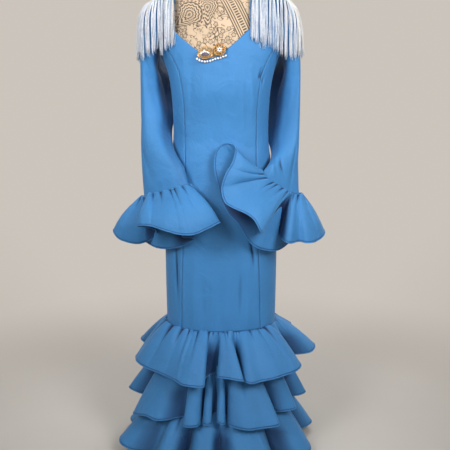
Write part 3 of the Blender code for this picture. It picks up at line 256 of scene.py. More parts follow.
TIER_3_FOLDS = table(
    "turn reach height",
    (-30, 0.222, 0.031), (-27, 0.212, 0.032), (-24, 0.25, 0.027), (-17, 0.286, 0.023),
    (-8, 0.284, 0.024), (-4, 0.236, 0.03), (-0.5, 0.206, 0.034), (3, 0.24, 0.029),
    (10, 0.286, 0.024), (20, 0.302, 0.023), (31, 0.3, 0.024), (38, 0.262, 0.028),
    (42, 0.212, 0.034), (46, 0.24, 0.03), (54, 0.298, 0.025), (64, 0.31, 0.024),
    (74, 0.28, 0.027), (79, 0.228, 0.033), (84, 0.222, 0.034), (89, 0.272, 0.028),
    (99, 0.308, 0.024), (110, 0.288, 0.026), (116, 0.232, 0.032), (121, 0.212, 0.034),
    (126, 0.262, 0.028), (137, 0.31, 0.023), (148, 0.29, 0.025), (154, 0.226, 0.032),
    (159, 0.206, 0.034), (164, 0.262, 0.028), (176, 0.312, 0.023), (188, 0.29, 0.025),
    (194, 0.226, 0.032), (199, 0.206, 0.034), (204, 0.262, 0.028), (215, 0.31, 0.023),
    (227, 0.288, 0.025), (233, 0.23, 0.032), (238, 0.212, 0.034), (243, 0.264, 0.029),
    (254, 0.316, 0.025), (265, 0.296, 0.029), (271, 0.248, 0.038), (276, 0.252, 0.042),
    (283, 0.32, 0.044), (291, 0.338, 0.037), (299, 0.312, 0.031), (306, 0.272, 0.029),
    (312, 0.274, 0.027), (321, 0.3, 0.024), (327, 0.27, 0.027),
)
TIERS = table(
    "node seam folds gathers seed",
    ("tier_1", TIER_SEAM, TIER_1_FOLDS, 50, 11),
    ("tier_2", 0.302, TIER_2_FOLDS, 48, 12),
    ("tier_3", 0.158, TIER_3_FOLDS, 48, 13),
)

# Creases of the bodice and skirt: a soft trough (depth < 0) or ridge from one end to the
# other. turn is in degrees from the front towards the wearer's left.
BODY_CREASES = table(
    "turn_0 height_0 turn_1 height_1 width depth",
    (52, 1.178, 50, 1.15, 0.0042, -0.006), (57, 1.162, 55, 1.136, 0.0038, -0.005),
    (47, 1.19, 49, 1.166, 0.006, 0.0022), (30, 1.185, 40, 1.01, 0.008, -0.0025),
    (22, 1.17, 27, 1.06, 0.009, -0.0021), (37, 1.19, 46, 1.04, 0.008, 0.003),
    (-36, 1.2, -40, 1.08, 0.009, -0.0022), (-22, 1.18, -26, 1.07, 0.012, 0.0018),
    (10, 1.175, 8, 1.03, 0.016, -0.0018), (-45, 0.96, -20, 0.985, 0.009, -0.0014),
    (48, 0.955, 20, 0.98, 0.01, -0.0014), (5, 0.95, 35, 0.93, 0.012, -0.001),
    (-58, 0.69, -56, 0.49, 0.006, -0.0052), (-50, 0.64, -49, 0.47, 0.008, 0.0022),
    (-33, 0.64, -36, 0.412, 0.011, 0.0026), (-24, 0.56, -25, 0.412, 0.009, -0.0024),
    (-9, 0.6, -12, 0.412, 0.01, 0.0022), (-2, 0.57, -3, 0.412, 0.009, -0.0026),
    (10, 0.62, 9, 0.412, 0.01, 0.0024), (26, 0.64, 25, 0.412, 0.014, -0.0034),
    (36, 0.56, 35, 0.412, 0.009, 0.0024), (37, 0.73, 43, 0.59, 0.006, -0.0052),
    (150, 1.06, 175, 1.01, 0.011, -0.0022), (-148, 1.05, -174, 1, 0.01, -0.002),
    (152, 0.99, 178, 0.975, 0.009, -0.0018), (-152, 0.985, -178, 0.968, 0.01, -0.0018),
    (140, 0.94, 170, 0.93, 0.01, 0.0012), (-135, 0.93, -168, 0.935, 0.011, 0.0012),
    (165, 0.56, 163, 0.42, 0.014, -0.0014), (-160, 0.54, -162, 0.42, 0.012, -0.0014),
    (120, 0.56, 122, 0.42, 0.012, -0.0012), (-118, 0.52, -120, 0.42, 0.011, -0.0012),
)

# Creases of a sleeve: place runs from 0 at the armhole to 1 at the cuff seam
SLEEVE_CREASES_RIGHT = table(
    "turn_0 place_0 turn_1 place_1 width depth",
    (80, 0.16, 110, 0.46, 0.012, -0.0022), (40, 0.3, 60, 0.7, 0.012, -0.0018),
    (110, 0.5, 135, 0.86, 0.01, 0.0016), (20, 0.55, 75, 0.93, 0.009, -0.0032),
    (300, 0.2, 270, 0.6, 0.014, -0.0026), (240, 0.35, 260, 0.8, 0.012, 0.002),
    (330, 0.45, 300, 0.9, 0.012, -0.0022),
)
SLEEVE_CREASES_LEFT = table(
    "turn_0 place_0 turn_1 place_1 width depth",
    (70, 0.18, 90, 0.5, 0.01, -0.002), (35, 0.35, 50, 0.75, 0.012, -0.002),
    (120, 0.8, 80, 0.93, 0.006, -0.0048), (150, 0.84, 100, 0.97, 0.006, 0.0026),
    (60, 0.72, 50, 0.98, 0.007, -0.0036), (300, 0.22, 270, 0.62, 0.014, -0.0026),
    (240, 0.4, 262, 0.82, 0.012, 0.002), (330, 0.5, 305, 0.92, 0.012, -0.0022),
)
ARMS = table(
    "side sign rings creases folds hollows sleeve_seed cuff_seed",
    ("right", -1, SLEEVE_RIGHT, SLEEVE_CREASES_RIGHT, CUFF_FOLDS_RIGHT, CUFF_HOLLOWS_RIGHT,
     31, 21),
    ("left", 1, SLEEVE_LEFT, SLEEVE_CREASES_LEFT, CUFF_FOLDS_LEFT, CUFF_HOLLOWS_LEFT, 32, 22),
)

# Fringe: x is the place on the shoulder, facing the way it looks (0 front, 90 outwards,
# 180 back), and bottom the height where the strands end.
FRINGE_SHOULDER_DROP = 0.012
BUNDLE_WIDE, BUNDLE_CLEAR = 0.0066, 0.004    # a bundle's width, and its start above the seam
# How far a tidy strand and a stray one sway, and the share of tidy ones
STRAND_SWAY, STRAND_STRAY, TIDY_SHARE = 0.0020, 0.0080, 0.84
# How far a strand waves sideways and in and out, how far it stands off the cloth at least,
# and how much more at most
STRAND_WAVE, STRAND_SWING, STRAND_OFF, STRAND_LOOSE = 0.0009, 0.0005, 0.0022, 0.0042
# How much the ends of strands differ, and how far down and up an end may be moved
STRAND_UNEVEN, STRAND_ENDS = 0.0045, (-0.012, 0.03)
FRINGE_RIGHT = table(
    "x facing bottom",
    (-0.131, 0, 1.24), (-0.16, 0, 1.232), (-0.186, 8, 1.222), (-0.186, 35, 1.214),
    (-0.186, 62, 1.208), (-0.186, 90, 1.206), (-0.186, 118, 1.208), (-0.186, 145, 1.214),
    (-0.186, 172, 1.222), (-0.16, 180, 1.234), (-0.131, 180, 1.244),
)
FRINGE_LEFT = table(
    "x facing bottom",
    (0.087, 0, 1.266), (0.118, 0, 1.246), (0.15, 0, 1.232), (0.182, 8, 1.216), (0.182, 35, 1.214),
    (0.182, 62, 1.222), (0.182, 90, 1.234), (0.182, 118, 1.226), (0.182, 145, 1.218),
    (0.182, 172, 1.222), (0.15, 180, 1.234), (0.118, 180, 1.246), (0.092, 180, 1.26),
)

# Braid: how far apart its pairs of cords are, a cord's pitch and radius, how far it turns
# out and up in its pair, and the pair's middle above the shoulder
CORD_APART, CORD_PITCH, CORD_RADIUS = 0.0056, 0.0075, 0.0013
CORD_TURN, CORD_LIFT = (0.0012, 0.0011), 0.0052
# The tape under them: half its width, its wall, its height at the middle and how it arches
TAPE_HALF, TAPE_WALL, TAPE_LIFT, TAPE_ARCH = 0.0080, 0.0010, 0.0040, 12.0
ACROSS = np.array((0.0, 1.0, 0.0))

# Stitched line beside a hem, with painted shade in its groove: its distance from it, and its
# stitches in radians to a metre
HEM_LINE, STITCH_RATE = 0.0036, 2100.0

# Print of the form's cover. Its map starts at the middle of the front, at this height.
PRINT_HEIGHT = 1.300
PETALS = 5
BORDER_LEAN, BORDER_PLACE, BORDER_APART = -0.451, 0.107, 0.165
PRINT_DROPS = table(
    "u v lean span bend",
    (-0.037, 0.042, math.pi, 0.100, 0.0), (-0.098, 0.022, 2.5, 0.120, 0.9),
)

# Dress form: it lies this far inside the dress, and its lower edge turns in
FORM_CLEARANCE = 0.0048
FORM_EDGE, FORM_EDGE_ROLL = 0.012, 0.012
FORM_BOTTOM, FORM_TOP = 0.600, 1.370
FORM_SHOULDER = table(
    "height reach",
    (1.13, 0.1435), (1.18, 0.148), (1.24, 0.154), (1.3, 0.156), (1.34, 0.152), (1.37, 0.14),
)
NECK = table(
    "height half_width half_depth",
    (1.384, 0.118, 0.05), (1.4, 0.08, 0.047), (1.43, 0.061, 0.053), (1.48, 0.056, 0.054),
)

# Turned pieces of the stand: the cap's profile above the neck, and the base's between its
# foot and its collar
CAP_PROFILE = table(
    "radius rise",
    (0.053, 0), (0.056, 0.003), (0.056, 0.01), (0.053, 0.0135), (0.044, 0.0168), (0.03, 0.0186),
    (0.015, 0.0205), (0.0115, 0.024), (0.011, 0.029), (0.015, 0.034), (0.0188, 0.0395),
    (0.019, 0.044), (0.0165, 0.051), (0.01, 0.0548), (0.003, 0.056),
)
POLE_RADIUS, BASE_FOOT, BASE_COLLAR = 0.0125, 0.1850, 0.0200
BASE_PROFILE = table(
    "radius height",
    (0.1895, 0.004), (0.19, 0.007), (0.1885, 0.0115), (0.17, 0.0155), (0.12, 0.0205),
    (0.064, 0.0258), (0.04, 0.0295), (0.03, 0.0335),
)

# Zip: the slider's body and bridge, and the tab's openings: half width, and start and end
# measured from the tab's nearer end
SLIDER_DEEP, SLIDER_TAPER, SLIDER_ROUNDING = 0.0030, 0.28, 0.0005
BRIDGE_RADIUS, BRIDGE_BAR = 0.0026, 0.00048
TAB_TAPER, TAB_ROUNDING = 0.20, 0.00022
TAB_WINDOW, TAB_HOLE = (0.0019, 0.0011, 0.0058), (0.0010, 0.0020, 0.0044)

# Brooch: (x, z) places and radii, on a plane just in front of the bodice
BROOCH_Y = -0.1225
LOOP_MIDDLE, LOOP_RADII = (-0.0432, 1.2212), (0.0205, 0.0128)
ROSETTE_MIDDLE = (-0.0028, 1.2330)
PLATE_PROFILE = table(
    "radius height",
    (0.012, 0), (0.015, 0.0006), (0.015, 0.0016), (0.0118, 0.0022), (0.007, 0.0024),
)
FACE_FRONT = Matrix.Rotation(math.pi / 2, 4, "X")    # turns a level piece to face the front
PEARL_APART = 0.0077
PEARL_STRING = table(
    "x z",
    (-0.0655, 1.208), (-0.056, 1.2022), (-0.043, 1.1998), (-0.03, 1.2016), (-0.016, 1.207),
    (0.002, 1.211), (0.018, 1.218),
)

# Light of the room: it grows from the front towards the back
ROOM_COLOUR = (1.0, 0.922, 0.84)
ROOM_FROM, ROOM_TO, ROOM_FRONT = -1.0, 0.9, 0.09
LAMP_SPREAD = math.radians(80)
LAMPS = table(
    "name place aim size share",
    ("key_left", (1.30, -1.8, 2.1), (0.0, 0.0, 1.25), 0.9, 0.50),
    ("key_right", (-1.30, -1.9, 2.1), (0.0, 0.0, 1.25), 0.9, 0.42),
    ("fill", (0.1, -3.2, 1.55), (0.0, 0.0, 1.0), 1.5, 0.16),
    ("back", (0.9, 2.4, 3.2), (0.0, 0.0, 0.9), 1.6, 0.50),
)
FLOOR_RADIUS, FLOOR_DROP = 14.0, 0.0005
CAMERA_SENSOR, CAMERA_LENS = 36.0, 55.36     # millimetres
CAMERA_PLACE, CAMERA_TILT = (0.0124, -2.1, 1.156), math.radians(78.0)


# ---- settings
def measure(name, description, default, low, high):
    """A setting in metres."""
    return FloatProperty(name=name, description=description, default=default, min=low, max=high,
                         unit="LENGTH")


def colour_setting(name, description, default):
    """A setting that holds a colour."""
    return FloatVectorProperty(name=name, description=description, default=default,
                               subtype="COLOR", min=0.0, max=1.0)


class DressSizes(bpy.types.PropertyGroup):
    wall: measure("Cloth", "Thickness of the crepe", 0.0012, 0.0005, 0.003)
    hem_cord: measure("Hem cord", "Radius of the rolled edge of a flounce", 0.0015, 0.0005, 0.004)
    gather: measure("Gathers", "Height of the gathers at a flounce's seam", 0.0125, 0.0, 0.015)


class DressColours(bpy.types.PropertyGroup):
    crepe: colour_setting("Crepe", "Blue of the dress", (0.037, 0.176, 0.405))
    # partly painted shade, in the groove of the stitched line beside each hem; the zip's lacquer
    # takes it as its own dark blue
    crepe_shade: colour_setting("Crepe, stitched lines", "Blue along hems and seams", (0.012, 0.050, 0.180))
    # painted shade: the dark blue that folds, creases, gathers, seams, the sleeves' inner sides and
    # the plain skirt are darkened towards
    crepe_fold_shade: colour_setting("Crepe, deep folds", "Blue at the bottom of the folds", (0.003, 0.015, 0.066))
    silk: colour_setting("Fringe", "White of the strands", (0.60, 0.64, 0.70))
    print_ground: colour_setting("Cover, ground", "Ground of the form's printed cover", (0.52, 0.395, 0.275))
    print_ink: colour_setting("Cover, ink", "Lines of the form's printed cover", (0.105, 0.077, 0.055))


class DressFringe(bpy.types.PropertyGroup):
    bundles: IntProperty(
        name="Bundles", description="Bundles of strands on each shoulder", default=36, min=10,
        max=200)
    strands: IntProperty(
        name="Strands", description="Strands in a bundle", default=10, min=1, max=20)
    radius: measure("Strand", "Radius of a strand", 0.00065, 0.0003, 0.003)


class DressStudio(bpy.types.PropertyGroup):
    key: FloatProperty(
        name="Key light", description="Power of the large front light", default=26.5, min=0.0,
        unit="POWER")
    room: FloatProperty(
        name="Room light", description="Strength of the light from all round", default=0.60,
        min=0.0)


# ---- curves and sections
def running(steps, axis=0):
    """Running total of steps, from 0."""
    total = np.cumsum(steps, axis=axis)
    return np.concatenate([np.zeros_like(np.take(total, [0], axis=axis)), total], axis=axis)


def step_lengths(grid, axis):
    """Distances between each point of a grid and the next, down it (0) or along it (1)."""
    return np.linalg.norm(np.diff(grid, axis=axis), axis=2)


def lengths(grid, axis):
    """Mean distance of each row (0) or column (1) of a grid from the first."""
    return running(step_lengths(grid, axis).mean(axis=1 - axis))


def smooth_between(before, after, slope_before, slope_after, span, u):
    """Values on smooth curves between two points, a share u of the way."""
    return (
        before * (1 + 2 * u) * (1 - u) ** 2 + slope_before * span * u * (1 - u) ** 2
        + after * u * u * (3 - 2 * u) - slope_after * span * u * u * (1 - u)
    )


def column(rows, key, height):
    """One column of a table at a height or at many, as a smooth curve through its rows."""
    heights = np.array([row.height for row in rows])
    values = np.array([getattr(row, key) for row in rows])
    slopes = np.gradient(values, heights)
    height = np.clip(height, heights[0], heights[-1])
    i = np.clip(np.searchsorted(heights, height, side="right") - 1, 0, len(rows) - 2)
    span = heights[i + 1] - heights[i]
    u = (height - heights[i]) / span
    return smooth_between(values[i], values[i + 1], slopes[i], slopes[i + 1], span, u)


def body_y(x, height, side):
    """Depth of the cloth at a width: side is -1 on the front and 1 on the back."""
    half = column(BODY, "half_width", height)
    deep = column(BODY, "front" if side < 0 else "back", height)
    share = np.minimum(np.abs(x) / half, 1.0) ** SECTION_POWER
    return side * deep * (1 - share) ** (1 / SECTION_POWER)


def section_degrees(x, height):
    """Where a width lies on the front half of its section."""
    half = column(BODY, "half_width", height)
    return np.degrees(np.arcsin(np.minimum(x / half, 1.0) ** (SECTION_POWER / 2)))


def section(rows, height):
    """Half width, front and back of a section at a height."""
    return [column(rows, key, height) for key in ("half_width", "front", "back")]


def body_point(degrees, height):
    """Point of the body at a turn from the front, 180 degrees being the back's middle."""
    half, front, back = section(BODY, height)
    s, c = math.sin(math.radians(degrees)), math.cos(math.radians(degrees))
    deep = front if c > 0 else back
    x = math.copysign(abs(s) ** (2 / SECTION_POWER), s) * half
    y = -math.copysign(abs(c) ** (2 / SECTION_POWER), c) * deep
    return x, y, height


def section_ring(row, out, turns, height):
    """Level ring of a section, in the directions of turns, in radians from the front."""
    half_width, front, back = (v + out for v in row)
    s, c = np.sin(turns), np.cos(turns)
    deep = np.where(c > 0, front, back)
    power = SECTION_POWER
    reach = (np.abs(s / half_width) ** power + np.abs(c / deep) ** power) ** (-1 / power)
    return np.stack([reach * s, -reach * c, np.full(len(turns), height)], axis=-1)


def front_edge(height):
    """Half the width of the middle of the front."""
    if height <= ARMHOLE_SPLIT:
        return column(PRINCESS, "reach", height)
    return column(ARMHOLE, "reach", height)


def neck_height(x):
    """Height of the neckline at a width."""
    side = 0 if x < NECK_MIDDLE else 1
    away = min(abs(x - NECK_MIDDLE), NECK_REACH)
    return NECK_BOTTOM + NECK_RISE[side] * away**NECK_POWER


def ridge_height(x):
    """Height of the shoulder seam at a width."""
    low, high = SHOULDER_TIP, BODY[-1].height
    halvings = 30
    for _ in range(halvings):
        middle = (low + high) / 2
        if column(BODY, "half_width", middle) > abs(x):
            low = middle
        else:
            high = middle
    return low


def closed_curve(points, count):
    """Points at equal steps along a smooth closed curve, and the table place of each."""
    points = np.array(points, float)
    size, fine = len(points), 12
    samples, places = [], []
    for i in range(size):
        a, b, c, d = (points[(i + k) % size] for k in (-1, 0, 1, 2))
        for step in range(fine):
            u = step / fine
            samples.append(0.5 * (2 * b + (c - a) * u + (2 * a - 5 * b + 4 * c - d) * u * u
                                  + (3 * b - a - 3 * c + d) * u**3))
            places.append(i + u)
    samples.append(samples[0])
    places.append(size)
    samples = np.array(samples)
    run = running(np.linalg.norm(np.diff(samples, axis=0), axis=1))
    wanted = np.linspace(0, run[-1], count, endpoint=False)
    at = np.interp(wanted, run, places)
    curve = np.stack([np.interp(wanted, run, samples[:, k]) for k in range(3)], axis=1)
    return curve, at


def through(rings, count):
    """A finer stack of rings, on smooth curves through the given ones."""
    rings = np.array(rings, float)
    at = lengths(rings, 0)
    slopes = np.gradient(rings, at, axis=0)
    fine = np.linspace(0, at[-1], count)
    i = np.clip(np.searchsorted(at, fine, side="right") - 1, 0, len(rings) - 2)
    span = (at[i + 1] - at[i])[:, None, None]
    u = (fine - at[i])[:, None, None] / span
    return smooth_between(rings[i], rings[i + 1], slopes[i], slopes[i + 1], span, u)


# ---- cloth
def normals(grid, wrap):
    """Unit normals of a grid of points: rows run up or down it and columns along it."""
    if wrap:
        along = np.roll(grid, -1, axis=1) - np.roll(grid, 1, axis=1)
    else:
        along = np.gradient(grid, axis=1)
    across = np.gradient(grid, axis=0)
    out = np.cross(along, across)
    length = np.linalg.norm(out, axis=2, keepdims=True)
    return out / np.maximum(length, 1e-9)


def outward(grid, wrap, middle):
    """Normals that point away from a middle line, given as a point for each row."""
    out = normals(grid, wrap)
    away = grid - middle[:, None, :]
    return out * np.where((out * away).sum(axis=2).mean() < 0, -1.0, 1.0)


def upright(grid):
    """The dress's middle line, at the mean height of each row."""
    middle = np.zeros((len(grid), 3))
    middle[:, 2] = grid[..., 2].mean(axis=1)
    return middle


def crease_depth(creases, turns, places, turn_metres, place_metres):
    """Sum of soft troughs and ridges at points given by turn and place."""
    total = np.zeros(np.broadcast(turns, places).shape)
    for turn_0, place_0, turn_1, place_1, width, depth in creases:
        a = np.array([turn_0 * turn_metres, place_0 * place_metres])
        b = np.array([turn_1 * turn_metres, place_1 * place_metres])
        u, v = turns * turn_metres - a[0], places * place_metres - a[1]
        way = b - a
        length = np.linalg.norm(way)
        along = np.clip((u * way[0] + v * way[1]) / length**2, 0, 1)
        off = np.hypot(u - along * way[0], v - along * way[1])
        fade = np.sin(math.pi * np.clip(along * 0.9 + 0.05, 0, 1)) ** 0.7
        total += depth * fade * np.exp(-((off / width) ** 2))
    return total


def gathers(count, folds, seed):
    """Small uneven pleats round a seam: height, how fast each one dies away, and how
    near a point is to the pinch between two of them."""
    rng = np.random.default_rng(seed)
    widths = rng.uniform(*GATHER_WIDTHS, folds)
    edges = running(widths) / widths.sum() * count
    heights = rng.uniform(*GATHER_HEIGHTS, folds) * np.sqrt(widths)
    fades = rng.uniform(*GATHER_FADES, folds)
    fades += np.where(rng.random(folds) > GATHER_SHORT, GATHER_LONG, 0.0)
    place = np.arange(count)
    k = np.clip(np.searchsorted(edges, place, side="right") - 1, 0, folds - 1)
    u = (place - edges[k]) / (edges[k + 1] - edges[k])
    rise = (np.sin(math.pi * u) + 1e-9) ** GATHER_POWER
    return heights[k] * rise, fades[k], (1 - rise) * np.clip(heights[k] * GATHER_PINCH, 0, 1)


def add_mesh(name, points, faces, finish):
    mesh = bpy.data.meshes.new(name)
    mesh.from_pydata(points.tolist(), [], faces)
    mesh.materials.append(finish)
    mesh.shade_smooth()
    obj = bpy.data.objects.new(name, mesh)
    bpy.context.scene.collection.objects.link(obj)
    return obj


def mark_points(obj, name, values):
    """Gives each point of a piece a number that its finish reads, or all of them the same."""
    values = np.zeros(len(obj.data.vertices)) + values
    obj.data.attributes.new(name, "FLOAT", "POINT").data.foreach_set("value", values)


def shell(name, grids, finish, wall, wrap=False, flip=False, edge=None, deep=None):
    """A cloth piece from grids of points, welded where they meet, with a wall.

    On a single grid, edge gives each point's distance to the hem, for the stitched line
    there. On the first grid, deep gives each point's painted shade, from 0 to 1, which darkens it
    as if it lay inside a fold.
    """
    points, marks, depths, quads, maps = [], [], [], [], []
    for number, grid in enumerate(grids):
        mark = np.full(grid.shape[:2], FAR) if edge is None else edge
        depth = np.zeros(grid.shape[:2]) if deep is None or number else deep
        if wrap:
            grid, mark, depth = (np.concatenate([part, part[:, :1]], axis=1)
                                 for part in (grid, mark, depth))
        rows, columns = grid.shape[:2]
        u, v = np.meshgrid(lengths(grid, 1), lengths(grid, 0))
        start = sum(len(p) for p in points)
        index = np.arange(rows * columns).reshape(rows, columns) + start
        quads.append(np.stack([index[:-1, :-1], index[:-1, 1:], index[1:, 1:], index[1:, :-1]],
                              axis=-1).reshape(-1, 4))
        points.append(grid.reshape(-1, 3))
        marks.append(mark.reshape(-1))
        depths.append(depth.reshape(-1))
        maps.append(np.stack([u, v + 2.0 * number], axis=-1).reshape(-1, 2))
    points, marks, depths, quads, maps = (
        np.concatenate(part) for part in (points, marks, depths, quads, maps))
    keys = np.round(points * 1e6).astype(np.int64)
    _, first, where = np.unique(keys, axis=0, return_index=True, return_inverse=True)
    where = where.reshape(-1)
    if flip:
        quads = quads[:, ::-1]
    faces, uvs = [], []
    for quad in quads:
        corners, seen = [], set()
        for i in quad:
            if where[i] not in seen:
                seen.add(where[i])
                corners.append(i)
        if len(corners) > 2:
            faces.append([int(where[i]) for i in corners])
            uvs.extend(maps[i] for i in corners)
    obj = add_mesh(name, points[first], faces, finish)
    obj.data.uv_layers.new(name="cloth").data.foreach_set("uv", np.array(uvs).reshape(-1))
    mark_points(obj, "hem", marks[first])
    # painted shade of each point, that the finish reads
    mark_points(obj, "deep", depths[first])
    solid = obj.modifiers.new("wall", "SOLIDIFY")
    solid.thickness = wall
    solid.offset = 0.0
    solid.use_even_offset = False
    return obj


def tube(name, paths, radii, guides, finish, sides=6, closed=False):
    """Round strands along paths in one mesh: each is an array of points, with a guide
    direction, or one for each point, that its cross-section is laid out from."""
    points, faces, made = [], [], 0
    ring = np.arange(sides) * 2 * math.pi / sides
    for path, radius, guide in zip(paths, radii, guides):
        count = len(path)
        if closed:
            way = np.roll(path, -1, axis=0) - np.roll(path, 1, axis=0)
        else:
            way = np.gradient(path, axis=0)
        way = way / np.linalg.norm(way, axis=1, keepdims=True)
        side = np.cross(way, np.broadcast_to(guide, way.shape))
        side /= np.linalg.norm(side, axis=1, keepdims=True)
        up = np.cross(side, way)
        radius = np.broadcast_to(np.asarray(radius, float), (count,))
        around = (side[:, None] * np.cos(ring)[None, :, None]
                  + up[:, None] * np.sin(ring)[None, :, None]) * radius[:, None, None]
        points.append((path[:, None] + around).reshape(-1, 3))
        index = np.arange(count * sides).reshape(count, sides) + made
        made += count * sides
        rings = np.concatenate([index, index[:1]]) if closed else index
        low, high = rings[:-1], rings[1:]
        quads = np.stack([low, high, np.roll(high, -1, axis=1), np.roll(low, -1, axis=1)],
                         axis=-1)
        faces += [tuple(q) for q in quads.reshape(-1, 4).tolist()]
        if not closed:
            faces.append(tuple(index[0].tolist()))
            faces.append(tuple(index[-1][::-1].tolist()))
    return add_mesh(name, np.concatenate(points), faces, finish)


def stand_in(obj, node, body="root"):
    """The piece rides on a body and takes the place of its solid."""
    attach(obj, body)
    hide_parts(node)
    return obj


def ride_along(obj, body="root"):
    """The piece rides on a body, beside another that takes a solid's place."""
    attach(obj, body)
    return obj


def turns_of(grid):
    """Direction of each point, in degrees from the front towards the wearer's left."""
    return np.degrees(np.arctan2(grid[..., 0], -grid[..., 1]))


# ---- panels
def hollow_shade(lift):
    """Painted shade at the bottom of a crease: how dark the cloth is made there."""
    return np.clip((-lift - CREASE_FROM) / CREASE_RANGE, 0, 1)


def panel_relief(grid):
    """Creases, and edges that turn in a little where a panel is sewn to the next. Gives
    the panel's points and the painted shade of each, in its creases and along its seams."""
    height = grid[..., 2]
    lift = crease_depth(BODY_CREASES, turns_of(grid), height, BODY_DEGREE, 1.0)
    pucker = PUCKER * np.sin(height * PUCKER_RATE + 3 * np.sin(height * PUCKER_DRIFT))
    run = running(step_lengths(grid, 1), 1)
    line = 0.0
    for off in (run, run[:, -1:] - run):
        roll = np.exp(-((off / SEAM_ROLL) ** 2))
        lift += pucker * np.exp(-((off - PUCKER_AT) / PUCKER_AT) ** 2)
        lift -= SEAM_TURN * roll
        # painted shade along the seam
        line = np.maximum(line, SEAM_SHADE * roll)
    lift = lift * np.clip((RELIEF_TOP - height) / RELIEF_FADE, 0, 1)
    out = outward(grid, False, upright(grid))
    return grid + out * lift[..., None], np.maximum(line, hollow_shade(lift))


def panel_rows(top):
    """Heights of a panel's rows where its top edge is at this height."""
    low = BODY[0].height
    return low + (np.linspace(low, PANEL_TOP, PANEL_COUNT) - low) * (top - low) / (PANEL_TOP - low)


def coons(bottom, top, left, right):
    """Rows of a patch spanned between four edges, each an array of points."""
    bottom, top, left, right = (np.array(e, float) for e in (bottom, top, left, right))
    v = np.linspace(0, 1, len(left))[:, None, None]
    u = np.linspace(0, 1, len(bottom))[None, :, None]
    corners = ((1 - u) * (1 - v) * bottom[0] + u * (1 - v) * bottom[-1]
               + (1 - u) * v * top[0] + u * v * top[-1])
    return ((1 - v) * bottom[None] + v * top[None] + (1 - u) * left[:, None]
            + u * right[:, None] - corners)


def strap(base, neck_x, side):
    """The shoulder part above a row of points that runs from the neckline to the armhole."""
    neck, arm, ridge = [], [], []
    sign = math.copysign(1, base[-1][0])
    neck_top = ridge_height(neck_x)
    for i in range(STRAP_COUNT + 1):
        v = 1 - (1 - i / STRAP_COUNT) ** 2
        height = base[0][2] + (neck_top - base[0][2]) * v
        neck.append((neck_x, body_y(neck_x, height, side), height))
        height = base[-1][2] + (SHOULDER_TIP - base[-1][2]) * v
        x = sign * column(ARMHOLE, "reach", height)
        arm.append((x, body_y(x, height, side), height))
    tip_x = sign * ARMHOLE[-1].reach
    for j in range(len(base)):
        x = neck_x + (tip_x - neck_x) * j / (len(base) - 1)
        ridge.append((x, side * SEAM_GAP, ridge_height(x)))
    neck[0], arm[0] = base[0], base[-1]
    neck[-1], arm[-1] = ridge[0], ridge[-1]
    return coons(base, ridge, neck, arm)


def front_centre(finish, wall):
    """The middle of the front, from seam to seam, with both shoulder parts above it."""
    middle_cells, strap_cells, tries = 72, 22, 6
    neck = [NECK_MIDDLE - NECK_REACH, NECK_MIDDLE + NECK_REACH]
    shares = [x / front_edge(neck_height(x)) for x in neck]
    steps = list(np.linspace(-1, shares[0], strap_cells + 1))
    steps += list(np.linspace(shares[0], shares[1], middle_cells + 1))[1:]
    steps += list(np.linspace(shares[1], 1, strap_cells + 1))[1:]
    columns = []
    for j, share in enumerate(steps):
        top = neck_height(share * front_edge(SHOULDER_TIP))
        for _ in range(tries):
            top = neck_height(share * front_edge(top))
        out = max(strap_cells - j, j - strap_cells - middle_cells, 0) / strap_cells
        heights = panel_rows(top + (ARMHOLE_SPLIT - top) * out)
        x = share * (np.array([front_edge(h) for h in heights]) - SEAM_GAP / 2)
        columns.append(np.stack([x, body_y(x, heights, -1), heights], axis=-1))
    grid, deep = panel_relief(np.stack(columns, axis=1))
    top = grid[-1]
    right = strap(top[strap_cells::-1], top[strap_cells][0], -1)[:, ::-1]
    left = strap(top[-strap_cells - 1:], top[-strap_cells - 1][0], -1)
    return shell("dress_front_centre", [grid, right, left], finish, wall, deep=deep)


def front_side(name, sign, finish, wall):
    """From the princess seam to the side seam."""
    columns, grid = 30, []
    for share in np.linspace(0, 1, columns + 1):
        heights = panel_rows(ARMHOLE_SPLIT + (UNDERARM - ARMHOLE_SPLIT) * share)
        start = section_degrees(column(PRINCESS, "reach", heights) + SEAM_GAP / 2, heights)
        points = np.array([body_point(a + (90 - a) * share, h) for a, h in zip(start, heights)])
        points[:, 0] *= sign
        points[:, 1] -= SEAM_GAP / 2 * share
        grid.append(points)
    grid, deep = panel_relief(np.stack(grid, axis=1))
    return shell(name, [grid], finish, wall, flip=sign < 0, deep=deep)


def back_panel(name, sign, finish, wall):
    """From the zip to the side seam, with the back of the shoulder above it."""
    middle_cells, strap_cells = 30, 30
    neck_x = abs(NECK_MIDDLE + sign * NECK_REACH)
    neck_share = section_degrees(neck_x, BACK_STRAP_BASE) / section_degrees(
        column(ARMHOLE, "reach", BACK_STRAP_BASE), BACK_STRAP_BASE)
    columns = []
    for j in range(middle_cells + strap_cells + 1):
        inner, outer = min(j / middle_cells, 1), max(j - middle_cells, 0) / strap_cells
        share = neck_share * inner + (1 - neck_share) * outer
        top = BACK_NECK + (BACK_STRAP_BASE - BACK_NECK) * inner**2
        top += (BACK_ARM_BASE - BACK_STRAP_BASE) * outer
        points = []
        for height in panel_rows(top):
            edge = 90
            if height > UNDERARM:
                edge = section_degrees(column(ARMHOLE, "reach", height), height)
            x, y, z = body_point(180 - edge * share, height)
            points.append((sign * max(x, SEAM_GAP / 2), y + SEAM_GAP / 2 * share, z))
        columns.append(points)
    grid, deep = panel_relief(np.array(columns).transpose(1, 0, 2))
    base = grid[-1][middle_cells:]
    above = strap(base, base[0][0], 1)
    return shell(name, [grid, above], finish, wall, flip=sign > 0, deep=deep)


# ---- sleeves and flounces
def signed_power(value):
    """A sine or cosine squared off a little."""
    return math.copysign(abs(value) ** (2 / SLEEVE_POWER), value)


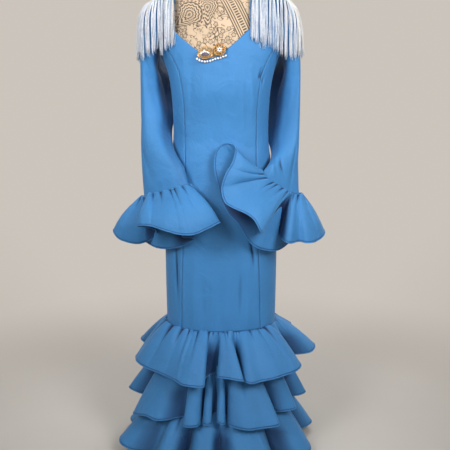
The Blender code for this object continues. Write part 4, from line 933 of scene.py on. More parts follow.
def ring_point(row, degrees):
    """Point of a sleeve's ring: 0 degrees is its outer edge, 90 its front, 180 the inner."""
    turn = math.radians(degrees)
    outer, inner = np.array(row.outer), np.array(row.inner)
    middle, half = (outer + inner) / 2, (outer - inner) / 2
    c, s = signed_power(math.cos(turn)), signed_power(math.sin(turn))
    way = np.array((*(row.front if s >= 0 else row.back), 0.0))
    return middle + half * c + way * abs(s)


def ring_way_out(row, degrees):
    """Level direction that points straight out of a sleeve's ring."""
    along = ring_point(row, degrees + 3) - ring_point(row, degrees - 3)
    out = np.array((along[1], -along[0], 0.0))
    middle = (np.array(row.outer) + np.array(row.inner)) / 2
    if out @ (ring_point(row, degrees) - middle) < 0:
        out = -out
    return out / np.linalg.norm(out)


def armhole(degrees, sign):
    """Point of the armhole: 0 degrees is the shoulder tip, 90 its front, 180 the underarm."""
    turn = math.radians(degrees)
    middle, half = (SHOULDER_TIP + UNDERARM) / 2, (SHOULDER_TIP - UNDERARM) / 2
    height = middle + half * math.cos(turn)
    x = column(ARMHOLE, "reach", height)
    return np.array((sign * x, body_y(x, height, -1 if math.sin(turn) >= 0 else 1), height))


def sleeve(arm, finish, wall):
    """A sleeve from its head in the armhole to the seam of its flounce."""
    columns, fine = 104, 150
    head = []
    degrees = np.arange(columns) * 360 / columns
    for angle in degrees:
        step = HEAD_GAP + LAP_GAP * (0.5 - 0.5 * math.cos(math.radians(angle))) ** 2
        head.append(armhole(angle, arm.sign) + np.array((arm.sign * step, 0, 0)))
    rings = [head] + [[ring_point(row, angle) for angle in degrees] for row in arm.rings]
    grid = through(rings, fine)
    places = np.linspace(0, 1, fine)[:, None]
    out = outward(grid, True, grid.mean(axis=1))
    lift = sum(
        crease_depth(arm.creases, degrees[None, :] + lap, places, SLEEVE_DEGREE, SLEEVE_LONG)
        for lap in (-360, 0, 360))
    ripple = gathers(columns, SLEEVE_GATHERS, arm.sleeve_seed)[0]
    lift -= SLEEVE_RIPPLE * ripple[None, :] * np.exp(-((1 - places) / RIPPLE_FADE))
    lift *= np.clip((places - 0.10) / 0.06, 0, 1) * np.clip((1 - places) / 0.02, 0, 1)
    # painted shade on the side of the sleeve that faces the body, and in its creases
    inner = np.clip((-np.cos(np.radians(degrees)) - 0.40) / 0.45, 0, 1)[None, :]
    deep = np.maximum(hollow_shade(lift), inner * INNER_SHADE * (1 - 0.6 * places))
    return shell(f"dress_sleeve_{arm.side}", [grid + out * lift[..., None]], finish, wall,
                 wrap=True, flip=arm.sign > 0, deep=deep)


def even(values, circle, reach):
    """Moving average of a turn that grows by one full circle over the array."""
    around = np.concatenate([values - circle, values, values + circle])
    total = running(around)
    start = len(values) + np.arange(len(values))
    return (total[start + reach + 1] - total[start - reach]) / (2 * reach + 1)


def folded_under(hollows, degrees, t):
    """Painted shade where one fold of a flounce lies over another: how dark the cloth is made
    there.
    """
    shade = np.zeros((len(t), len(degrees)))
    for row in hollows:
        middle, half = (row.sewn_0 + row.sewn_1) / 2, (row.sewn_1 - row.sewn_0) / 2
        level, tall = (row.fall_0 + row.fall_1) / 2, (row.fall_1 - row.fall_0) / 2
        across = np.exp(-np.abs((degrees[None, :] - middle) / half) ** 3)
        along = np.exp(-np.abs((t - level) / tall) ** 3)
        shade = np.maximum(shade, row.shade * across * along)
    return shade


def fall_of(rows):
    """Share of the fall at each row of a flounce: closer together at its seam."""
    return (np.linspace(0, 1, rows) ** 1.3)[:, None]


def gathered(grid, middle, t, gather, folds, seed, start, shade_fade):
    """Raises the gathers below a flounce's seam. Gives its points and the painted shade between the
    gathers. They rise over the share of the fall in start, and the painted shade dies away over
    the share in shade_fade."""
    height, fades, pinch = gathers(grid.shape[1], folds, seed)
    lift = gather * height[None, :] * np.exp(-t / fades[None, :]) * np.clip(t / start, 0, 1)
    shade = pinch * np.exp(-t / shade_fade(fades)) * PINCH_SHADE
    return grid + outward(grid, True, middle) * lift[..., None], shade


def cuff_flounce(arm, finish, sizes):
    """A circular flounce from the end of a sleeve to its folded hem."""
    columns, rows, row, folds = 340, 38, arm.rings[-1], arm.folds
    hem, at = closed_curve([(f.x, f.y, f.z) for f in folds], columns)
    sewn = [f.sewn_at for f in folds] + [folds[0].sewn_at + 360]
    degrees = even(np.interp(at, range(len(sewn)), sewn), 360, CUFF_BLEND)
    start = np.array([ring_point(row, a) + ring_way_out(row, a) * LAP_GAP for a in degrees])
    start[:, 2] -= CUFF_DROP
    t = fall_of(rows)
    grid = start[None] + (hem - start)[None] * t[..., None]
    grid[..., 1] -= CUFF_BOW * np.sin(math.pi * t)
    away = hem - start
    away[:, 2] = 0
    swell = CUFF_SWELL * np.sin(math.pi * t**0.8)
    grid += away[None] * (swell / np.linalg.norm(away, axis=1).mean())[..., None]
    grid, shade = gathered(grid, grid.mean(axis=1), t, sizes.gather, CUFF_GATHERS,
                           arm.cuff_seed, 0.02, lambda fades: 0.14)
    # painted shade between the gathers and where one fold lies over another
    return flounce_pieces(f"dress_cuff_{arm.side}", grid, finish, sizes, flip=arm.sign > 0,
                          deep=np.maximum(shade, folded_under(arm.hollows, degrees, t)))


def painted_fold_shade(hem, t):
    """Painted shade of each point of a flounce that lies in a fold, from how deep it lies: the
    hem's points against the furthest out among those near them on both sides."""
    reach = np.hypot(hem[:, 0], hem[:, 1])
    wide = int(len(reach) * FOLD_SHARE)
    around = np.concatenate([reach[-wide:], reach, reach[:wide]])
    outer = np.array([around[i:i + 2 * wide + 1].max() for i in range(len(reach))])
    depth = np.clip((outer - reach) / FOLD_DEPTH, 0, 1)
    return depth[None, :] * np.clip(t / FOLD_START, 0, 1)


def flounce_pieces(name, grid, finish, sizes, deep, flip=False):
    """The shell of a flounce, and the cord rolled into its hem."""
    run = running(step_lengths(grid, 0))
    cloth = shell(name, [grid], finish, sizes.wall, wrap=True, flip=flip,
                  edge=run[-1:] - run, deep=deep)
    way = normals(grid, True)[-1]
    cord = tube(name + "_hem", [grid[-1]], [sizes.hem_cord], [way], finish, sides=8, closed=True)
    mark_points(cord, "hem", FAR)
    return cloth, cord


def tier(row, finish, sizes):
    """A gathered flounce: level seam, folded hem, and a fall that bells out between them."""
    columns, rows = 460, 36
    turn = np.radians([fold.turn for fold in row.folds])
    reach = np.array([fold.reach for fold in row.folds])
    heights = [fold.height for fold in row.folds]
    hem, _ = closed_curve(np.stack([reach * np.sin(turn), -reach * np.cos(turn), heights],
                                   axis=-1), columns)
    turns = np.unwrap(np.arctan2(hem[:, 0], -hem[:, 1]))
    smooth = even(turns, 2 * math.pi, int(columns * TIER_BLEND))
    first = row.seam == TIER_SEAM
    source = BODY if first else BASE_SKIRT
    out, drop = (0.0, TIER_DROP) if first else (LAP_GAP, 0.0)
    start = section_ring(section(source, row.seam), out, smooth, row.seam - drop)
    t = fall_of(rows)
    grid = start[None] + (hem - start)[None] * (t**TIER_SPREAD)[..., None]
    grid[..., 2] = start[None, :, 2] + (hem - start)[None, :, 2] * t**TIER_FALL
    grid, shade = gathered(grid, upright(grid), t, sizes.gather, row.gathers, row.seed, 0.012,
                           lambda fades: 0.06 + 0.3 * fades)
    # painted shade in the folds of the hem and between the gathers
    return flounce_pieces("flounce_" + row.node, grid, finish, sizes,
                          deep=np.maximum(painted_fold_shade(hem, t), shade))


def skirt_base(finish, wall):
    """The plain skirt under the flounces, with painted shade all over because little light reaches
    it.
    """
    columns, rows = 120, 40
    turns = np.arange(columns) * 2 * math.pi / columns
    grid = np.array([
        section_ring(section(BASE_SKIRT, height), 0.0, turns, height)
        for height in np.linspace(BASE_SKIRT[0].height, BASE_SKIRT[-1].height, rows)])
    edge = np.broadcast_to(grid[:, :1, 2] - BASE_SKIRT[0].height, grid.shape[:2])
    return shell("dress_skirt_base", [grid], finish, wall, wrap=True, edge=edge, flip=True,
                 deep=np.ones(edge.shape))


# ---- finishes
class Finish:
    """A material with a Principled shader, and short ways to wire its nodes."""

    def __init__(self, name, roughness, **values):
        self.material = bpy.data.materials.new(name)
        self.material.use_nodes = True
        self.tree = self.material.node_tree
        self.shader = self.tree.nodes["Principled BSDF"]
        self.shader.inputs["Roughness"].default_value = roughness
        for key, value in values.items():
            self.shader.inputs[key.replace("_", " ")].default_value = value
        self.place = self.tree.nodes.new("ShaderNodeTexCoord").outputs["Object"]

    def node(self, kind, links=(), **settings):
        node = self.tree.nodes.new("ShaderNode" + kind)
        for key, value in settings.items():
            setattr(node, key, value)
        for socket, value in dict(links).items():
            self.put(node.inputs[socket], value)
        return node

    def put(self, socket, value):
        if isinstance(value, bpy.types.NodeSocket):
            self.tree.links.new(value, socket)
        else:
            socket.default_value = value

    def reckon(self, operation, *values):
        node = self.node("Math", operation=operation)
        for socket, value in zip(node.inputs, values):
            self.put(socket, value)
        return node.outputs[0]

    def plus(self, first, second):
        return self.reckon("ADD", first, second)

    def times(self, first, second):
        return self.reckon("MULTIPLY", first, second)

    def more(self, first, second):
        """The larger of two values."""
        return self.reckon("MAXIMUM", first, second)

    def wave(self, value, rate):
        """A sine with this many radians to a unit of the value."""
        return self.reckon("SINE", self.times(value, rate))

    def off(self, value, middle):
        """How far the value is from the middle, either way."""
        return self.reckon("ABSOLUTE", self.reckon("SUBTRACT", value, middle))

    def split(self, vector):
        return self.node("SeparateXYZ", {"Vector": vector}).outputs

    def length(self, vector):
        return self.node("VectorMath", {0: vector}, operation="LENGTH").outputs["Value"]

    def noise(self, scale, detail=2.0, place=None, rough=0.5, warp=0.0):
        """Cloudy values from 0 to 1: scale is in clouds to a metre."""
        links = {"Scale": scale, "Detail": detail, "Roughness": rough, "Distortion": warp,
                 "Vector": self.place if place is None else place}
        return self.node("TexNoise", links).outputs["Fac"]

    def spread(self, value, low, high, new_low=0.0, new_high=1.0):
        """The range from low to high drawn out softly to the new one."""
        links = {"Value": value, "From Min": low, "From Max": high, "To Min": new_low,
                 "To Max": new_high}
        return self.node("MapRange", links, interpolation_type="SMOOTHSTEP").outputs[0]

    def within(self, value, middle, half, soft):
        """1 where the value is less than half away from the middle, with soft edges."""
        return self.spread(self.off(value, middle), half, half + soft, 1.0, 0.0)

    def blend(self, share, first, second):
        links = {"Factor": share, 6: first, 7: second}
        return self.node("Mix", links, data_type="RGBA").outputs[2]

    def tone(self, colour, value):
        """The colour made lighter or darker."""
        return self.node("HueSaturation", {"Color": colour, "Value": value}).outputs[0]

    def scaled(self, place, scale, turn=0.0):
        links = {"Vector": place, "Scale": scale, "Rotation": (0.0, 0.0, turn)}
        return self.node("Mapping", links).outputs[0]

    def cloth_map(self, name="cloth"):
        return self.node("UVMap", uv_map=name).outputs[0]

    def attribute(self, name):
        return self.node("Attribute", attribute_name=name).outputs["Fac"]

    def relief(self, *layers):
        """Bumps from (height, depth in metres), one on another."""
        normal = None
        for height, depth in layers:
            bump = self.node("Bump", {"Height": height, "Distance": depth, "Strength": 1.0})
            if normal:
                self.tree.links.new(normal, bump.inputs["Normal"])
            normal = bump.outputs[0]
        self.tree.links.new(normal, self.shader.inputs["Normal"])

    def colour(self, value):
        self.put(self.shader.inputs["Base Color"], value)


def rgb(colour):
    return (*colour, 1.0)


def crepe_finish(colours):
    """Matt stretch crepe: a fine pebbled face, a stitched line beside each hem, and painted shade
    in its folds and creases.
    """
    f = Finish("blue_crepe", 0.64, Sheen_Weight=0.28, Sheen_Roughness=0.40,
               Sheen_Tint=(0.38, 0.68, 1.0, 1.0), Specular_IOR_Level=0.30)
    uv = f.cloth_map()
    wash = f.spread(f.noise(7.0, 3.0), 0.25, 0.75, 0.93, 1.07)
    pebble = f.noise(1500.0)
    speck = f.spread(pebble, 0.35, 0.65, 0.95, 1.05)
    cloth = f.tone(rgb(colours.crepe), f.times(wash, speck))
    hem = f.attribute("hem")
    # painted shade in the groove of the stitched line, which is also a real dent
    groove = f.within(hem, HEM_LINE, 0.0007, 0.0010)
    stitch = f.spread(f.wave(f.split(uv)[0], STITCH_RATE), -0.5, 0.1)
    thread = f.times(f.within(hem, HEM_LINE, 0.0003, 0.0003), stitch)
    # painted shade: darker blue where a piece marks its points as shaded
    cloth = f.blend(f.spread(f.attribute("deep"), 0.15, 0.95), cloth, rgb(colours.crepe_fold_shade))
    shade = f.blend(f.times(groove, 0.80), cloth, rgb(colours.crepe_shade))
    f.colour(f.blend(f.times(thread, 0.5), shade, rgb(colours.crepe)))
    grain = f.noise(1.0, 1.0, place=f.scaled(uv, (2600.0, 700.0, 1.0)))
    dents = f.noise(19.0, 3.0, rough=0.55, warp=0.6)
    hang = f.noise(1.0, place=f.scaled(f.place, (26.0, 26.0, 3.0)))
    f.relief((pebble, 0.00022), (grain, 0.00010), (f.noise(60.0), 0.0006),
             (dents, 0.0040), (hang, 0.0022), (groove, -0.0006))
    return f.material


def silk_finish(colours):
    """Rayon strands, white to cream, each with its own tone at random, and painted shade in bluish
    grey on some of them.
    """
    f = Finish("fringe_strands", 0.46, Sheen_Weight=0.30, Specular_IOR_Level=0.45)
    shade = f.attribute("shade")
    cream = f.blend(f.spread(shade, 0.55, 0.95), rgb(colours.silk), (0.58, 0.52, 0.43, 1.0))
    # painted shade: strands with a low shade number turn bluish grey
    mixed = f.blend(f.spread(shade, 0.30, 0.05), cream, (0.27, 0.38, 0.60, 1.0))
    f.colour(f.tone(mixed, f.spread(f.noise(160.0), 0.3, 0.7, 0.92, 1.05)))
    twist = f.noise(1.0, place=f.scaled(f.place, (2400.0, 2400.0, 500.0)))
    f.relief((twist, 0.0003))
    return f.material


def curl(f, place, bend):
    """Ink of a drop with nested outlines, whose tip is at +y, and the ground it covers.

    It is about 0.7 wide. Its upper half narrows, grows longer and leans over by bend.
    """
    x, y, _ = f.split(place)
    y = f.plus(y, 0.13)
    up, down = f.more(y, 0.0), f.reckon("MINIMUM", y, 0.0)
    bent = f.reckon("SUBTRACT", x, f.times(f.times(up, up), bend))
    narrow = f.times(bent, f.reckon("MULTIPLY_ADD", up, 3.2, 1.0))
    reach = f.plus(f.times(narrow, narrow), f.times(down, down))
    long = f.times(up, 0.60)
    size = f.reckon("SQRT", f.plus(reach, f.times(long, long)))
    around = f.reckon("ARCTAN2", bent, y)
    scallop = f.times(f.wave(around, 15.0), 0.012)
    rings = f.wave(f.plus(size, scallop), 90.0)
    nested = f.times(f.spread(rings, -0.15, 0.25), f.spread(size, 0.300, 0.310, 1.0, 0.0))
    beads = f.times(f.spread(f.wave(around, 22.0), -0.2, 0.2),
                    f.within(size, 0.352, 0.018, 0.006))
    outline = f.within(size, 0.306, 0.012, 0.005)
    ink = f.more(nested, f.more(beads, outline))
    return ink, f.spread(size, 0.375, 0.390, 1.0, 0.0)


def cover_finish(colours):
    """Printed cotton: curled drops with nested outlines among small flowers and vines."""
    f = Finish("printed_cover", 0.82, Sheen_Weight=0.15, Specular_IOR_Level=0.25)
    uv = f.cloth_map()

    def over(ink, cover, under):
        return f.node("Mix", {"Factor": cover, 2: under, 3: ink}, data_type="FLOAT").outputs[0]

    def cells(scale, random):
        links = {"Vector": uv, "Scale": scale, "Randomness": random}
        cell = f.node("TexVoronoi", links, voronoi_dimensions="2D")
        from_middle = f.node("VectorMath", {0: f.scaled(uv, (scale, scale, 1.0)),
                                            1: f.scaled(cell.outputs["Position"],
                                                        (scale, scale, 1.0))},
                             operation="SUBTRACT").outputs[0]
        random_turn = f.node("SeparateColor", {"Color": cell.outputs["Color"]}).outputs[0]
        return from_middle, random_turn

    # Small flowers, with vines between them
    petal, spin = cells(58.0, 0.60)
    x, y, _ = f.split(petal)
    angle = f.plus(f.reckon("ARCTAN2", x, y), spin)
    lobes = f.reckon("ABSOLUTE", f.reckon("COSINE", f.times(angle, PETALS / 2)))
    flower = f.reckon("SUBTRACT", f.length(petal), f.reckon("MULTIPLY_ADD", lobes, 0.17, 0.20))
    veins = f.times(f.spread(lobes, 0.40, 0.25), f.spread(flower, 0.0, 0.02, 1.0, 0.0))
    bloom = f.more(f.within(flower, 0.0, 0.055, 0.03), veins)
    bloom = f.times(bloom, f.spread(f.noise(19.0, 1.0, place=uv), 0.41, 0.44))
    vines = f.within(f.noise(30.0, 1.0, place=uv, warp=0.8), 0.5, 0.009, 0.006)
    ink = f.more(bloom, vines)

    # Large drops all over, away from the front
    middle, lean = cells(13.5, 0.45)
    links = {"Vector": middle, "Angle": f.times(lean, 9.0)}
    drop, cover = curl(f, f.node("VectorRotate", links, rotation_type="Z_AXIS").outputs[0], 1.1)
    ink = over(drop, f.times(cover, f.spread(f.length(uv), 0.165, 0.170)), ink)

    # A slanting border with stripes and a row of dots
    x, along, _ = f.split(f.scaled(uv, (1.0, 1.0, 1.0), turn=BORDER_LEAN))
    across = f.reckon("PINGPONG", f.plus(x, BORDER_PLACE), BORDER_APART)
    stripes = f.spread(f.wave(across, 950.0), -0.3, 0.2)
    stripes = f.times(stripes, f.spread(f.off(across, BORDER_APART), 0.0065, 0.0075))
    dots = f.spread(f.wave(along, 800.0), -0.6, -0.1)
    dots = f.times(dots, f.within(across, BORDER_APART, 0.0055, 0.001))
    ink = over(f.more(stripes, dots), f.within(across, BORDER_APART, 0.026, 0.001), ink)

    # Two large drops at the front
    for u, v, lean, span, bend in PRINT_DROPS:
        links = {"Vector": uv, "Location": (u, v, 0.0), "Rotation": (0.0, 0.0, lean),
                 "Scale": (span, span, 1.0)}
        place = f.node("Mapping", links, vector_type="TEXTURE").outputs[0]
        drop, cover = curl(f, place, bend)
        ink = over(drop, cover, ink)
    worn = f.times(ink, f.spread(f.noise(300.0), 0.25, 0.5, 0.82, 1.0))
    ground = f.tone(rgb(colours.print_ground), f.spread(f.noise(11.0, 3.0), 0.3, 0.7, 0.90, 1.06))
    f.colour(f.blend(worn, ground, rgb(colours.print_ink)))
    x, y, _ = f.split(f.scaled(uv, (9000.0, 9000.0, 1.0)))
    weave = f.times(f.reckon("SINE", x), f.reckon("SINE", y))
    f.relief((weave, 0.00012), (f.noise(40.0), 0.0006))
    return f.material


def black_finish():
    """Satin stove enamel with a little dust and fine scratches."""
    f = Finish("satin_black", 0.36, Specular_IOR_Level=0.5, Coat_Weight=0.15,
               Coat_Roughness=0.25)
    dust = f.spread(f.noise(26.0, 5.0, rough=0.65), 0.45, 0.80)
    f.colour(f.blend(dust, (0.012, 0.012, 0.014, 1.0), (0.030, 0.029, 0.028, 1.0)))
    f.put(f.shader.inputs["Roughness"], f.spread(dust, 0.0, 1.0, 0.32, 0.50))
    scratch = f.noise(1.0, 3.0, place=f.scaled(f.place, (90.0, 90.0, 900.0)))
    f.relief((scratch, 0.00006))
    return f.material


def gilt_finish(name="gilt_plate", bright=(0.58, 0.36, 0.14, 1.0), worn=(0.26, 0.14, 0.05, 1.0)):
    """Bright plate with darker tarnish in cloudy patches. With two dark colours it makes the
    brooch's dark backing, which is painted shade behind the loop's opening.
    """
    f = Finish(name, 0.24, Metallic=1.0)
    tarnish = f.spread(f.noise(420.0, 3.0), 0.40, 0.70)
    f.colour(f.blend(tarnish, bright, worn))
    f.put(f.shader.inputs["Roughness"], f.spread(tarnish, 0.0, 1.0, 0.20, 0.42))
    f.relief((f.noise(900.0), 0.00008))
    return f.material


def pearl_finish():
    """Imitation pearl: a soft coat over cream that turns to a cool grey in places."""
    f = Finish("pearl_bead", 0.22, Coat_Weight=0.6, Coat_Roughness=0.12, Sheen_Weight=0.2,
               Specular_IOR_Level=0.6)
    f.colour(f.blend(f.spread(f.noise(300.0), 0.3, 0.7), (0.86, 0.83, 0.78, 1.0),
                     (0.80, 0.80, 0.86, 1.0)))
    f.relief((f.noise(700.0, 1.0), 0.00003))
    return f.material


def lacquer_finish(colours):
    """Metal lacquered to match the cloth, rubbed bright in small patches."""
    f = Finish("zip_lacquer", 0.34, Metallic=0.55, Coat_Weight=0.4, Coat_Roughness=0.2)
    rubbed = f.spread(f.noise(900.0, 4.0), 0.60, 0.72)
    f.colour(f.blend(rubbed, rgb(colours.crepe_shade), (0.40, 0.42, 0.45, 1.0)))
    f.relief((f.noise(2500.0), 0.00003))
    return f.material


def floor_finish(room):
    """A matt floor that fades into the room's light far from the dress."""
    f = Finish("studio_floor", 0.85, Specular_IOR_Level=0.0)
    f.shader.inputs["Emission Color"].default_value = rgb(ROOM_COLOUR)
    far = f.spread(f.length(f.place), 0.40, 1.7)
    way = f.node("VectorMath", {0: f.place}, operation="NORMALIZE").outputs[0]
    links = {"Value": f.split(way)[1], "From Min": ROOM_FROM, "From Max": ROOM_TO,
             "To Min": ROOM_FRONT * room, "To Max": room}
    glow = f.node("MapRange", links).outputs[0]
    f.put(f.shader.inputs["Emission Strength"], f.times(glow, far))
    floor = f.tone((0.52, 0.50, 0.47, 1.0), f.spread(f.noise(1.6, 3.0), 0.3, 0.7, 0.97, 1.02))
    f.colour(f.blend(far, floor, (0.0, 0.0, 0.0, 1.0)))
    return f.material


# ---- hard pieces
def work_in(mode):
    bpy.ops.object.mode_set(mode=mode)
    if mode == "EDIT":
        bpy.ops.mesh.select_all(action="SELECT")


def start_piece(name):
    """Names what a primitive operator has just added, and opens it for editing."""
    obj = bpy.context.object
    obj.name = obj.data.name = name
    work_in("EDIT")
    return obj


def clear_selection():
    if bpy.context.object and bpy.context.object.mode != "OBJECT":
        work_in("OBJECT")
    bpy.ops.object.select_all(action="DESELECT")


def end_piece(obj, finish, smooth=math.radians(40)):
    """Closes the edit, puts the place of the object in its mesh and gives it its finish."""
    bpy.ops.mesh.select_all(action="SELECT")
    bpy.ops.mesh.normals_make_consistent(inside=False)
    work_in("OBJECT")
    bpy.ops.object.transform_apply(location=True, rotation=True, scale=True)
    bpy.ops.object.shade_smooth_by_angle(angle=smooth)
    obj.data.materials.clear()
    obj.data.materials.append(finish)
    return obj


def bevel(obj, width, segments=3):
    """Rounds the sharp edges of a finished hard piece."""
    edge = obj.modifiers.new("edge", "BEVEL")
    edge.width, edge.segments, edge.limit_method = width, segments, "ANGLE"
    bpy.ops.object.modifier_apply(modifier="edge")
    return obj


def turned(name, profile, finish, segments=96, rounding=0.0006):
    """A turned solid drawn up from a disc: its profile's rows are (radius, height)."""
    clear_selection()
    radius, level = profile[0]
    bpy.ops.mesh.primitive_circle_add(vertices=segments, radius=radius, fill_type="NGON",
                                      location=(0, 0, level))
    obj = start_piece(name)
    for wide, high in profile[1:]:
        bpy.ops.mesh.extrude_region_move(TRANSFORM_OT_translate={"value": (0, 0, high - level)})
        bpy.ops.transform.resize(value=(wide / radius, wide / radius, 1),
                                 center_override=(0, 0, high))
        radius, level = wide, high
    end_piece(obj, finish)
    if rounding:
        bevel(obj, rounding)
    return obj


def oval_ring(middle, radii, bar, finish, segments=72, sides=10):
    """A round wire bent to an oval that faces the front."""
    clear_selection()
    bpy.ops.mesh.primitive_torus_add(
        location=middle, rotation=(math.pi / 2, 0, 0), major_radius=radii[0], minor_radius=bar,
        major_segments=segments, minor_segments=sides)
    obj = start_piece("ring")
    bpy.ops.transform.resize(value=(1, 1, radii[1] / radii[0]), center_override=middle)
    return end_piece(obj, finish)


def bead(middle, radius, finish, flat=1.0, segments=18):
    clear_selection()
    bpy.ops.mesh.primitive_uv_sphere_add(location=middle, radius=radius, segments=segments,
                                         ring_count=segments * 2 // 3)
    obj = start_piece("bead")
    bpy.ops.transform.resize(value=(1, flat, 1), center_override=middle)
    return end_piece(obj, finish, math.radians(60))


def copy_to(source, places):
    """Copies of a piece, each with its own mesh, moved by the given steps."""
    made = []
    for place in places:
        twin = source.copy()
        twin.data = source.data.copy()
        twin.data.transform(Matrix.Translation(place))
        bpy.context.scene.collection.objects.link(twin)
        made.append(twin)
    return made


def joined(name, parts):
    clear_selection()
    for part in parts:
        part.select_set(True)
    bpy.context.view_layer.objects.active = parts[0]
    bpy.ops.object.join()
    obj = bpy.context.object
    obj.name = obj.data.name = name
    return obj


# ---- form, fringe and brooch
def form_section(height):
    """Half width, front and back of the form at a height."""
    row = [value - FORM_CLEARANCE for value in section(BODY, height)]
    if height > FORM_SHOULDER[0].height:
        row[0] = column(FORM_SHOULDER, "reach", height)
    return row


def form_torso(finish):
    """The padded torso and neck: a grid wrapped round its sections and closed."""
    columns, body_rows, neck_rows, shared, share_step = 144, 150, 40, 8, 3
    turns = (np.arange(columns + 1) / columns + 0.5) * 2 * math.pi
    rings = []
    for height in np.linspace(FORM_BOTTOM, FORM_TOP, body_rows):
        rim = FORM_EDGE * math.exp(-(height - FORM_BOTTOM) / FORM_EDGE_ROLL)
        rings.append(section_ring(form_section(height), -rim, turns, height))
    neck = rings[-shared::share_step]
    neck += [section_ring((row.half_width, row.half_depth, row.half_depth), 0.0, turns,
                          row.height) for row in NECK]
    rings = np.array(rings[:-shared] + list(through(neck, neck_rows)))
    clear_selection()
    bpy.ops.mesh.primitive_grid_add(x_subdivisions=columns, y_subdivisions=len(rings) - 1,
                                    size=1, calc_uvs=True)
    obj = start_piece("form_cover")
    work_in("OBJECT")

    def grid_place(spots):
        """Row and column of each spot on the unit grid."""
        return (np.rint(spots[:, 1] * (len(rings) - 1)).astype(int),
                np.rint(spots[:, 0] * columns).astype(int))

    spots = np.empty(len(obj.data.vertices) * 3)
    obj.data.vertices.foreach_get("co", spots)
    i, j = grid_place(spots.reshape(-1, 3) + 0.5)
    obj.data.vertices.foreach_set("co", rings[i, j % columns].reshape(-1))
    cloth_map = obj.data.uv_layers[0]
    cloth_map.name = "cloth"
    uv = np.empty(len(cloth_map.data) * 2)
    cloth_map.data.foreach_get("uv", uv)
    uv = uv.reshape(-1, 2)
    i, j = grid_place(uv)
    around = running(step_lengths(rings, 1), 1)
    around -= around[:, columns // 2: columns // 2 + 1]
    up = lengths(rings, 0)
    uv[:, 0] = around[i, j]
    uv[:, 1] = (up - up[np.argmin(np.abs(rings[:, 0, 2] - PRINT_HEIGHT))])[i]
    cloth_map.data.foreach_set("uv", uv.reshape(-1))
    work_in("EDIT")
    bpy.ops.mesh.remove_doubles(threshold=0.00002)
    bpy.ops.mesh.select_all(action="SELECT")
    bpy.ops.mesh.fill_holes(sides=0)
    return end_piece(obj, finish)


def under_strands(objects):
    """Search trees of the cloth that the strands lie on."""
    graph = bpy.context.evaluated_depsgraph_get()
    return [BVHTree.FromObject(obj, graph) for obj in objects]


def reach_at(trees, x, height, way):
    """How far the cloth reaches at a height, looking out from the shoulder's middle."""
    middle = Vector((x, 0, height))
    best, outside = 0.0, 0.3
    for lean in (-0.09, 0.0, 0.09):
        look = Matrix.Rotation(lean, 3, "Z") @ way
        for tree in trees:
            hit = tree.ray_cast(middle + look * outside, -look)[0]
            if hit:
                best = max(best, (hit - middle).dot(way))
    return best


def bundle_reach(trees, x, heights, way):
    """How far out a bundle hangs at each height: it never goes back in under the cloth that
    it has crossed."""
    reach, best, between = [], 0.0, 4
    for i, height in enumerate(heights):
        under = heights[min(i + 1, len(heights) - 1)]
        for step in np.linspace(height, under, between):
            if step < ridge_height(x) - BUNDLE_CLEAR:
                best = max(best, reach_at(trees, x, step, way))
        reach.append(best)
    reach[0] = min(reach[0], 0.010)
    return np.array(reach)


def curtain_rows(rows, count):
    """Places spread evenly along the curtain of strands: x, facing and bottom of each."""
    data = np.array([(row.x, row.facing, row.bottom) for row in rows])
    shoulder = 0.055                             # radius of the turn round the shoulder
    steps = np.hypot(np.diff(data[:, 0]), np.radians(np.diff(data[:, 1])) * shoulder)
    run = running(steps)
    wanted = (np.arange(count) + 0.5) / count * run[-1]
    return [np.interp(wanted, run, data[:, k]) for k in range(3)]


def fringe(name, rows, trees, finish, settings, seed):
    """Bundles of strands that hang from the braid and fall free below what they cross."""
    rng = np.random.default_rng(seed)
    levels, sides = 15, 5
    t = np.linspace(0, 1, levels)
    paths, radii, guides, shades = [], [], [], []
    for x, facing, bottom in zip(*curtain_rows(rows, settings.bundles)):
        turn = math.radians(facing)
        way = Vector((math.copysign(1, x) * math.sin(turn), -math.cos(turn), 0))
        side = np.array((way.y, -way.x, 0.0))
        top = ridge_height(x) - FRINGE_SHOULDER_DROP * abs(math.sin(turn)) + BUNDLE_CLEAR
        heights = top + (bottom - 0.006 - top) * t**1.3
        reach = bundle_reach(trees, x, heights, way)
        shade_here = rng.random()
        short, lean = rng.uniform(-0.007, 0.012), rng.normal(0, 0.0030)
        for k in range(settings.strands):
            fan = (k + 0.5) / settings.strands - 0.5 + rng.uniform(-0.15, 0.15)
            stray = STRAND_STRAY if rng.random() > TIDY_SHARE else STRAND_SWAY
            sway = fan * BUNDLE_WIDE * (0.55 + 0.6 * t) + lean * t**1.4
            sway += rng.normal(0, stray) * t**rng.uniform(0.8, 2.0)
            sway += STRAND_WAVE * np.sin(t * rng.uniform(3, 9) + rng.uniform(0, 6)) * np.sqrt(t)
            stand = STRAND_OFF + rng.uniform(0.0, STRAND_LOOSE) * np.minimum(t * 3, 1)
            depth = reach + stand + STRAND_SWING * np.sin(t * rng.uniform(3, 7) + rng.uniform(0, 6))
            end = bottom - heights[-1] + short + rng.normal(0, STRAND_UNEVEN)
            end = np.clip(end, *STRAND_ENDS)
            path = np.array((x, 0, 0)) + np.outer(depth, np.array(way)) + np.outer(sway, side)
            path[:, 2] = heights + end * t**2
            paths.append(path)
            radii.append(settings.radius * rng.uniform(0.8, 1.2) * (1 - 0.3 * t**6))
            guides.append(np.array(way))
            # a shade number for each strand, at random; the lowest ones are painted bluish grey as
            # shade
            shades.append(np.clip(0.55 * shade_here + 0.45 * rng.random(), 0, 1))
    obj = tube(name, paths, radii, guides, finish, sides)
    mark_points(obj, "shade", np.repeat(np.array(shades), levels * sides))
    return obj


